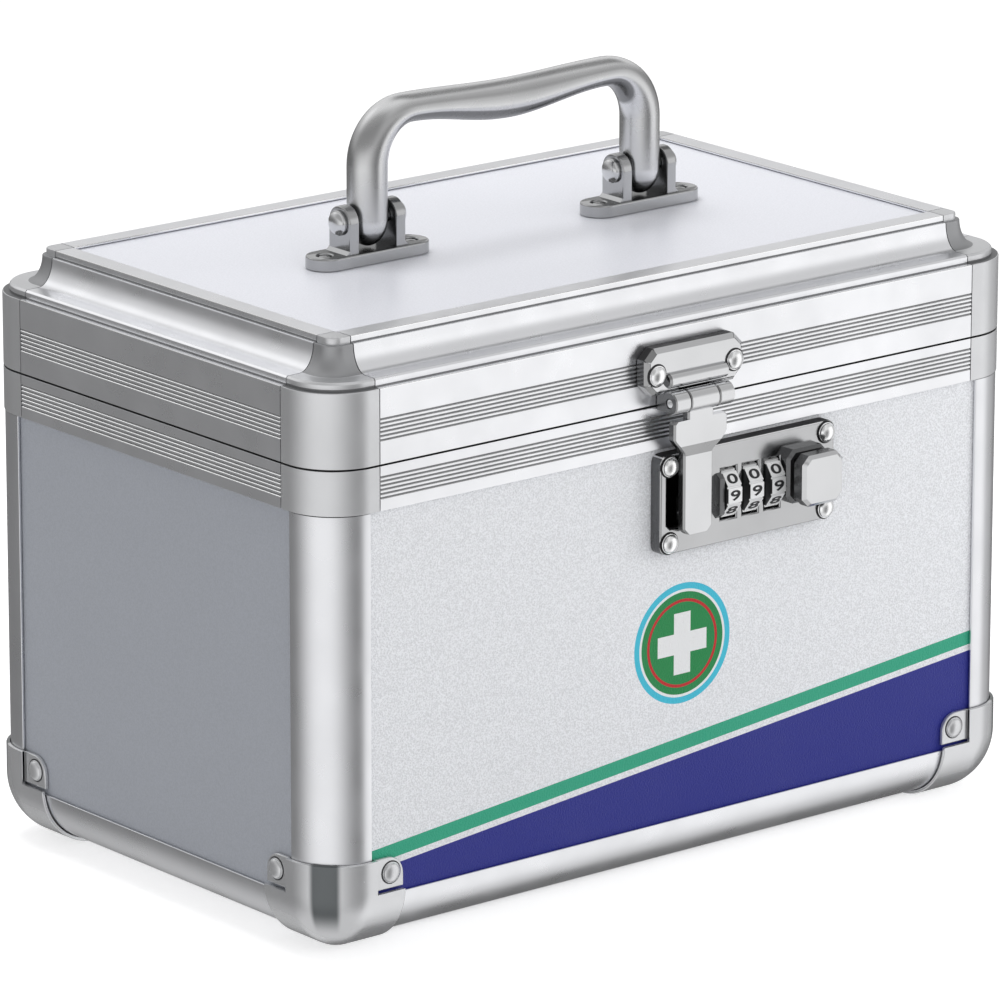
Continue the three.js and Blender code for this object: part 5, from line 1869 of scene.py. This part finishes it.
@dataclass
class Lock(Assembly):
    """The lock plate, number dials and release button, with the works behind them."""

    left: float = -11.0
    width: float = 66.0
    top: float = -14.5
    height: float = 29.5
    round: float = 3.0
    standoff: float = 4.3
    skin: float = 1.4
    skin_edge: float = 0.55
    wall: float = 1.8
    rivet_inset: float = 3.4
    rivet_radius: float = 3.0
    rivet_height: float = 2.1
    # Width of the painted shadow ring round each rivet.
    rivet_shadow_ring: float = 0.4
    slot_inset: float = 2.5
    slot_width: float = 13.9
    slot_drop: float = 2.2
    slot_end: float = 21.9
    slot_chamfer: float = 1.2
    hasp_centre: float = 0.2
    channel_half: float = 2.65
    channel_end: float = 23.1
    dial_radius: float = 8.2
    dial_width: float = 5.4
    dial_edge: float = 0.35
    dial_pitch: float = 8.3
    dial_first: float = 25.6
    dial_depth: float = 4.7
    dial_drop: float = 15.1
    dial_room: float = 0.1
    dial_hub: float = 3.0
    dial_bore: float = 1.75
    hub_length: float = 7.0
    notch: float = 0.7
    notch_depth: float = 0.5
    button_left: float = 53.3
    button_drop: float = 13.7
    button_width: float = 15.4
    button_height: float = 15.2
    button_chamfer: float = 2.5
    button_thickness: float = 4.7
    button_edge: float = 1.0
    button_foot: float = 0.3
    travel: float = 2.0
    collar_width: float = 15.6
    collar_height: float = 16.2
    collar_thickness: float = 3.2
    collar_edge: float = 0.9
    stem_half: float = 4.3
    stem_length: float = 12.0
    guide: Triple = (2.0, 2.0, 13.8)
    guide_taper: float = 1.6
    digit_size: float = 2.9 / 0.7
    digit_stretch: float = 1.9
    digit_raise: float = 0.06
    digit_bold: float = 0.075
    digit_gap: float = 0.02

    @property
    def front(self) -> float:
        """Distance of the plate's face in front of the middle of the box."""
        return -self.sizes.panel_front + self.standoff

    @property
    def button(self) -> Pair:
        """Middle of the button."""
        return self.left + self.button_left, self.top - self.button_drop

    @property
    def half_notch(self) -> float:
        """Half the notch between two digits, as an angle."""
        return self.notch / self.dial_radius / 2

    @property
    def dials(self) -> dict[str, Triple]:
        """Name and middle of each dial."""
        first = self.left + self.dial_first
        return {label: (first + i * self.dial_pitch, self.dial_depth - self.front,
                        self.top - self.dial_drop)
                for i, label in enumerate(("left", "middle", "right"))}

    def opening(self) -> Loop:
        """Outline the hasp's slot with the channel for its staple.

        Returns:
            The opening's corners.
        """
        left, foot = self.left + self.slot_inset, self.top - self.slot_end
        right, top, cut = left + self.slot_width, self.top - self.slot_drop, self.slot_chamfer
        near, far = self.hasp_centre - self.channel_half, self.hasp_centre + self.channel_half
        deep = self.top - self.channel_end
        return [(left + cut, foot), (near, foot), (near, deep), (far, deep), (far, foot),
                (right, foot), (right, top), (left, top), (left, foot + cut)]

    def plate(self) -> Shape:
        """Press the plate with its rivets, guide and button collar.

        Returns:
            The plate.
        """
        fit, front, wall = self.sizes.fit, self.front, self.wall
        right, bottom = self.left + self.width, self.top - self.height
        back, skin_back = -self.sizes.panel_front + fit, front - self.skin
        outer = soften(rectangle(self.left, bottom, right, self.top), self.round, 8)
        hollow = rectangle(self.left + wall, bottom + wall, right - wall, self.top - wall)
        room, deep = self.dial_radius + self.dial_room, self.dial_depth - self.skin
        chord, half = math.sqrt(room ** 2 - deep ** 2), self.dial_width / 2 + fit
        windows = [rectangle(x - half, z - chord, x + half, z + chord)
                   for x, _, z in self.dials.values()]
        shape = Shape().slab(Plane.FRONT, [outer, hollow], back, skin_back + 0.05)
        shape.slab(Plane.FRONT, [outer, self.opening(), *windows], skin_back, front,
                   edge=self.skin_edge)
        collar = chamfered(around(*self.button, self.collar_width, self.collar_height),
                           self.button_chamfer)
        hole = rectangle(*around(*self.button, *[2 * (self.stem_half + fit)] * 2))
        shape.slab(Plane.FRONT, [collar, hole], skin_back, front + self.collar_thickness,
                   edge=self.collar_edge, steps=1)
        width, rise, length = self.guide
        edge, _, middle = self.dials["left"]
        edge, low, high = edge - half, middle - length / 2, middle + length / 2
        guide = [(-front + fit, low), (-front + fit, high),
                 (-front - rise, high - self.guide_taper), (-front - rise, low + self.guide_taper)]
        shape.slab(Plane.END, [guide], edge - width, edge, edge=0.2, foot=0.2)
        for x in (self.left + self.rivet_inset, right - self.rivet_inset):
            for z in (self.top - self.rivet_inset, bottom + self.rivet_inset):
                shape.dome(self.rivet_radius, self.rivet_height, 0.7, Vector((x, -front, z)),
                           Vector((0, -1, 0)), ring=self.rivet_shadow_ring, coat=2)
        return shape

    def dial(self, x: float, y: float, z: float) -> Shape:
        """Turn a dial with a flat for each digit and a notch between neighbours.

        Args:
            x: Its middle along X.
            y: Its axis along Y.
            z: Height of its axis.

        Returns:
            The dial.
        """
        notch, rim = self.half_notch, self.dial_radius
        floor = rim - self.notch_depth
        points = [(radius, (i + 0.5) * SECTOR + turn) for i in range(10) for radius, turn in (
            (rim, -notch), (floor, -notch / 3), (floor, notch / 3), (rim, notch))]
        loop = [(y - radius * math.cos(angle), z + radius * math.sin(angle))
                for radius, angle in points]
        half, reach = self.dial_width / 2, self.hub_length / 2
        shape = Shape().slab(Plane.END, [loop, circle((y, z), self.dial_bore)], x - half, x + half,
                             self.dial_edge, self.dial_edge, 2)
        return shape.tube(self.dial_hub, self.dial_bore, Vector((x - reach, y, z)),
                          Vector((x + reach, y, z)), 0.1)

    def digits(self, name: str, centre: Vector) -> bpy.types.Object:
        """Raise the ten digits of a dial as one thin mesh, with 9 to the front.

        Args:
            name: The mesh's name.
            centre: The dial's middle.

        Returns:
            The digits.
        """
        shape = Shape()
        flat = self.dial_radius * math.cos(SECTOR / 2 - self.half_notch) + self.digit_gap
        for step in range(10):
            curve = bpy.data.curves.new("digit", "FONT")
            curve.body = str((9 + step) % 10)
            curve.size = self.digit_size
            curve.align_x, curve.align_y = "CENTER", "CENTER"
            curve.extrude, curve.offset = self.digit_raise, self.digit_bold
            holder = bpy.data.objects.new("digit", curve)
            mesh = bpy.data.meshes.new_from_object(holder)
            points = [vertex.co.copy() for vertex in mesh.vertices]
            across, up = ((min(line) + max(line)) / 2 for line in (
                [point.x for point in points], [point.y for point in points]))
            turn = Matrix.Rotation(-step * SECTOR, 4, "X")
            shape.add((centre + turn @ Vector((self.digit_stretch * (point.x - across),
                                               -(flat + point.z), point.y - up))
                       for point in points), [tuple(face.vertices) for face in mesh.polygons])
            bpy.data.objects.remove(holder)
            bpy.data.meshes.remove(mesh)
        return shape.build(name, self.shop.datum)

    def cap(self) -> Shape:
        """Cast the release button with its stem.

        Returns:
            The button.
        """
        fit = self.sizes.fit
        back = self.front + self.collar_thickness + self.travel + fit
        loop = chamfered(around(*self.button, self.button_width, self.button_height),
                         self.button_chamfer)
        stem = rectangle(*around(*self.button, 2 * self.stem_half, 2 * self.stem_half))
        shape = Shape().slab(Plane.FRONT, [loop], back, back + self.button_thickness,
                             self.button_edge, self.button_foot, 1)
        return shape.slab(Plane.FRONT, [stem], back - self.stem_length, back + fit)

    def walls(self, middle: Vector, normal: Vector) -> int:
        """Paint shade on walls and guide, shadow on the collar's face and top, highlight on
        rivets.

        Args:
            middle: Middle of a face.
            normal: Its normal.

        Returns:
            The face's coat.
        """
        proud, (first, _, axis) = -self.front - middle.y, self.dials["left"]
        x, z = self.button
        if (proud > 0.2 and middle.x > x - self.collar_width / 2 - 1
                and abs(middle.z - z) < self.collar_height / 2 + 0.2):
            return 2 if proud > self.collar_thickness - 0.1 else 1
        if middle.z > self.top - 0.8 and normal.z > 0.3:
            return 2 if normal.z > 0.9 else 3
        edge = first - self.dial_width / 2
        beside = edge - self.guide[0] - 0.3 < middle.x < edge - 0.1
        guide = beside and proud > 0.3 and abs(middle.z - axis) < self.guide[2]
        if normal.y > -SLANTED or guide:
            return 1
        return 3 if proud > 0.1 else 0

    @staticmethod
    def skirt(_: Vector, normal: Vector) -> int:
        """Shade the cap's side walls."""
        return 1 if normal.y > -SLANTED else 0

    @staticmethod
    def cheeks(_: Vector, normal: Vector) -> int:
        """Darken a dial's two sides."""
        return 1 if abs(normal.x) > SIDEWAYS else 0

    def build(self) -> None:
        """Make the lock's visible pieces and finish the works behind."""
        make = self.shop.make
        make("lock_plate_cast", self.plate(), Finish.CHROME, "body", "lock_plate",
             coat="plate", extra=("shade", "painted_shadow", "edge"), choose=self.walls)
        make("button_cap", self.cap(), Finish.CHROME, "button", "release_button",
             extra=("shade",), choose=self.skirt)
        for label, centre in self.dials.items():
            make(f"number_dial_{label}", self.dial(*centre), Finish.PLATED, f"{label}_dial",
                 f"dial_{label}", extra=("dial_side",), choose=self.cheeks)
            digits = self.digits(f"digits_{label}", Vector(centre))
            self.shop.paint(digits, "ink")
            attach(digits, f"{label}_dial")
        self.shop.keep(Finish.DARK, "lock_case")
        self.shop.keep(Finish.SATIN, "dial_shaft", "lock_bolt", "button_spring")


@dataclass
class RearHinges(Assembly):
    """Two butt hinges on the back."""

    inset: float = 58.0
    length: float = 34.0
    leaf_height: float = 11.6
    leaf_thickness: float = 1.3
    leaf_start: float = 1.0
    leaf_round: float = 1.6
    standoff: float = 3.3
    knuckle: float = 2.6
    relief: float = 0.6
    web: Triple = (0.4, -0.1, 1.1)
    pin_radius: float = 1.1
    middle_share: float = 0.34
    rivet_radius: float = 1.9
    rivet_height: float = 0.9
    rivet_pitch: float = 12.0

    def leaf(self, side: int, x: float) -> Shape:
        """Fold a leaf with its knuckles and rivets.

        Args:
            side: 1 for the lid's, -1 for the body's.
            x: Where its middle lies.

        Returns:
            The leaf.
        """
        s = self.sizes
        back, axis = s.half_depth + s.fit, s.half_depth + self.standoff
        face = back + self.leaf_thickness
        half, middle = self.length / 2, self.length * self.middle_share / 2
        near, far = side * self.leaf_start, side * (self.leaf_start + self.leaf_height)
        relief, near_pin, rim, shoulder = (side * reach for reach in (
            self.knuckle + self.relief, self.pin_radius + self.web[0],
            self.knuckle + self.web[1], self.knuckle + self.web[2]))
        loop = rectangle(-half, min(relief, far), half, max(relief, far))
        shape = Shape().slab(Plane.REAR, [soften(loop, self.leaf_round, 4)], back, face, edge=0.3)
        web = [(back, near), (axis, near_pin), (axis, rim), (face, shoulder), (back, shoulder)]
        for start, end in [(-middle, middle)] if side > 0 else [(-half, -middle), (middle, half)]:
            ends = (start + s.fit, end - s.fit)
            shape.tube(self.knuckle, self.pin_radius + s.fit,
                       *(Vector((at, axis, 0.0)) for at in ends), 0.3)
            shape.sweep(web, along_x(ends))
        height = side * (self.leaf_start + self.knuckle + self.leaf_height) / 2
        for place in (-self.rivet_pitch, 0.0, self.rivet_pitch):
            shape.dome(self.rivet_radius, self.rivet_height, 0.6, Vector((place, face, height)),
                       Vector((0, 1, 0)), 24)
        return shape.moved(Matrix.Translation((x, 0.0, 0.0)))

    def build(self) -> None:
        """Make the four leaves and finish the pins."""
        for label, direction in (("left", -1), ("right", 1)):
            x = direction * (self.sizes.half_width - self.inset)
            for part, side in (("lid", 1), ("body", -1)):
                self.shop.make(f"{part}_leaf_{label}", self.leaf(side, x), Finish.SATIN, part,
                               f"hinge_{part}_leaf_{label}")
            self.shop.keep(Finish.SATIN, f"hinge_pin_{label}")


@dataclass
class Boards(Assembly):
    """The coated boards, kept from the CAD."""

    def build(self) -> None:
        """Finish the panels."""
        self.shop.keep(Finish.FRONT_BOARD, "front_panel", "rear_panel")
        self.shop.keep(Finish.SIDE_BOARD, "left_panel", "right_panel", "bottom_panel")
        self.shop.keep(Finish.LID_BOARD, "lid_panel")


# Studio


@dataclass(frozen=True)
class Camera:
    """The photograph's viewpoint, about the datum."""

    azimuth: float = -39.225
    elevation: float = 15.936
    roll: float = -0.066
    right: float = 1.44
    up: float = 45.754
    distance: float = 2280.942
    focal_share: float = 7.8053
    sensor: float = 36.0
    far: float = 10.0

    def place(self, datum: Datum) -> None:
        """Add the camera and make it the scene's own.

        Args:
            datum: What it looks at.
        """
        azimuth, elevation = math.radians(self.azimuth), math.radians(self.elevation)
        back = Vector((math.sin(azimuth) * math.cos(elevation),
                       -math.cos(azimuth) * math.cos(elevation), math.sin(elevation)))
        right = Vector((math.cos(azimuth), math.sin(azimuth), 0.0))
        turn = Matrix.Rotation(math.radians(self.roll), 3, "Z") @ Matrix(
            (right, back.cross(right), back))
        data = bpy.data.cameras.new("camera")
        data.sensor_width = self.sensor
        data.lens = self.sensor * self.focal_share
        data.clip_end = self.far
        camera = bpy.data.objects.new("camera", data)
        spot = datum.world(turn.transposed() @ Vector((-self.right, -self.up, self.distance)))
        camera.matrix_world = Matrix.Translation(spot) @ turn.transposed().to_4x4()
        bpy.context.collection.objects.link(camera)
        bpy.context.scene.camera = camera


@dataclass(frozen=True)
class Screen:
    """A soft-edged part of the surroundings, in degrees, and how bright it is."""

    name: str
    azimuth: float
    elevation: float
    half_width: float
    half_height: float
    side_blur: float
    edge_blur: float
    level: float

    @staticmethod
    def tree() -> bpy.types.NodeTree:
        """Build the group that masks one screen: 1 inside, 0 outside.

        Returns:
            The node tree.
        """
        group = Group("Screen Mask", Direction=(0.0, 0.0, 1.0), Toward=(0.0, -1.0, 0.0),
                      Across=(1.0, 0.0, 0.0), Elevation=0.0, Half_Width=0.3, Half_Height=0.3,
                      Side_Blur=0.1, Edge_Blur=0.1)
        given = group.given
        aim = given["Direction"]
        toward, across = (group.vector("DOT_PRODUCT", aim, given[way], output="Value")
                          for way in ("Toward", "Across"))
        turn = group.math("ABSOLUTE", group.math("ARCTAN2", across, toward))
        height = group.math("ARCSINE", group.split(aim)["Z"])
        rise = group.math("ABSOLUTE", group.math("SUBTRACT", height, given["Elevation"]))
        return group.close(Mask=group.math(
            "MULTIPLY", group.fade(turn, given["Half Width"], given["Side Blur"]),
            group.fade(rise, given["Half Height"], given["Edge Blur"])))

    def inputs(self) -> dict[str, Any]:
        """List what the mask's group is given.

        Returns:
            Input name to a direction or an angle in radians.
        """
        turn = math.radians(self.azimuth)
        angles = {"Elevation": self.elevation, "Half Width": self.half_width,
                  "Half Height": self.half_height, "Side Blur": self.side_blur,
                  "Edge Blur": self.edge_blur}
        return {"Toward": (math.sin(turn), -math.cos(turn), 0.0),
                "Across": (math.cos(turn), math.sin(turn), 0.0),
                **{label: math.radians(angle) for label, angle in angles.items()}}


@dataclass(frozen=True)
class Lamp:
    """A soft lamp for the matt surfaces, in metres from the datum and in watts.

    It is aimed at the box and unseen in the metal.
    """

    name: str
    place: Triple
    size: float
    power: float

    def hang(self, datum: Datum) -> None:
        """Add the lamp.

        Args:
            datum: What it shines on.
        """
        light = bpy.data.lights.new(self.name, "AREA")
        light.size, light.energy = self.size, self.power
        lamp = bpy.data.objects.new(self.name, light)
        aim = Vector(self.place)
        lamp.matrix_world = Matrix.Translation(datum.origin + aim) @ (
            aim.to_track_quat("Z", "Y").to_matrix().to_4x4())
        lamp.visible_glossy = False
        bpy.context.collection.objects.link(lamp)


@dataclass
class Studio:
    """A pale room: soft surroundings with bright and dark screens, lamps, floor and camera."""

    datum: Datum
    base: float = 0.74
    floor_reach: float = 3.0
    floor_lift: float = 0.5
    floor_colour: Triple = (0.88, 0.88, 0.885)
    floor_roughness: float = 0.9
    screens: tuple[Screen, ...] = (
        Screen("left sky", -75.0, 45.0, 40.0, 25.0, 30.0, 15.0, 0.45),
        Screen("dark horizon", 0.0, -16.0, 180.0, 12.0, 1.0, 24.0, 0.21),
        Screen("left window", -62.0, -14.0, 10.0, 16.0, 68.0, 22.0, 1.0),
        Screen("right haze", 80.0, -12.0, 8.0, 22.0, 26.0, 22.0, 0.5),
        Screen("rear sky", 150.0, 18.0, 26.0, 8.0, 20.0, 10.0, 0.74),
        Screen("front window", 48.0, -16.0, 10.0, 28.0, 18.0, 22.0, 1.12),
        Screen("front sky", 48.0, 44.0, 22.0, 10.0, 26.0, 20.0, 0.62),
        Screen("dark gap", 123.0, 46.0, 18.0, 8.0, 18.0, 10.0, 0.2),
        Screen("low shade", 120.0, -42.0, 20.0, 12.0, 22.0, 14.0, 0.14),
        Screen("rear strip", -164.0, 38.0, 10.0, 8.0, 12.0, 8.0, 1.1),
    )
    lamps: tuple[Lamp, ...] = (
        Lamp("top lamp", (-0.12, 0.3, 0.95), 0.4, 2.42),
        Lamp("front lamp", (-0.1, -0.65, 0.25), 0.4, 0.5),
        Lamp("right lamp", (0.5, -0.36, 0.06), 0.3, 0.62),
        Lamp("back lamp", (0.25, 0.32, 0.3), 0.25, 0.55),
    )

    def surroundings(self) -> None:
        """Light the room by direction, white where the camera looks straight at it."""
        world = bpy.data.worlds.new("studio")
        bpy.context.scene.world = world
        world.use_nodes = True
        graph, tree = Graph(world.node_tree), Screen.tree()
        aim = graph.out("TexCoord", output="Generated")
        level: Any = self.base
        for screen in self.screens:
            mask = graph.group(tree, Direction=aim, **screen.inputs())["Mask"]
            level = graph.out("Mix", {"Factor": mask, 2: level, 3: screen.level})
            LOG.info("screen %s: level %.2f", screen.name, screen.level)
        seen = graph.out("LightPath", output="Is Camera Ray")
        graph.feed(world.node_tree.nodes["Background"], {
            "Color": (1.0, 1.0, 1.0, 1.0),
            "Strength": graph.out("Mix", {"Factor": seen, 2: level, 3: 1.0})})

    def floor(self) -> None:
        """Lay a pale floor that shows shadows, but not itself in the metal or from below."""
        mesh = bpy.data.meshes.new("floor")
        corners = rectangle(*around(0.0, 0.0, 2 * self.floor_reach, 2 * self.floor_reach))
        mesh.from_pydata([(x, y, 0.0) for x, y in corners], [], [(0, 1, 2, 3)])
        floor = bpy.data.objects.new("floor", mesh)
        bpy.context.collection.objects.link(floor)
        material, graph, shader = new_material("floor")
        graph.feed(shader, {"Base Color": (*self.floor_colour, 1.0),
                            "Roughness": self.floor_roughness})
        paths = graph.add("LightPath").outputs
        shine = graph.math("MULTIPLY", paths["Is Camera Ray"], self.floor_lift)
        pale = graph.out("AddShader", {0: shader.outputs[0],
                                       1: graph.out("Emission", {"Strength": shine})})
        hidden = graph.math("MAXIMUM", paths["Is Glossy Ray"],
                            graph.out("NewGeometry", output="Backfacing"))
        mix = graph.out("MixShader", {0: hidden, 1: pale, 2: graph.out("BsdfTransparent")})
        graph.feed(material.node_tree.nodes["Material Output"], {"Surface": mix})
        floor.data.materials.append(material)

    def build(self) -> None:
        """Set up light, floor and camera."""
        bpy.context.scene.view_settings.view_transform = "Standard"
        self.surroundings()
        for lamp in self.lamps:
            lamp.hang(self.datum)
        self.floor()
        Camera().place(self.datum)


def main() -> None:
    """Build the dressed box in its studio."""
    logging.basicConfig(level=logging.INFO, format="%(name)s %(message)s")
    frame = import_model()
    sizes = Sizes()
    datum = Datum.from_frame(sizes.seam_gap)
    Studio(datum).build()
    shop = Workshop(frame, datum)
    for assembly in (LidFrame, BodyFrame, CornerGuards, CarryHandle, Hasp, Lock, RearHinges,
                     Boards):
        assembly(shop, sizes).build()
        LOG.info("%s done", assembly.__name__)


if __name__ == "__main__":
    main()
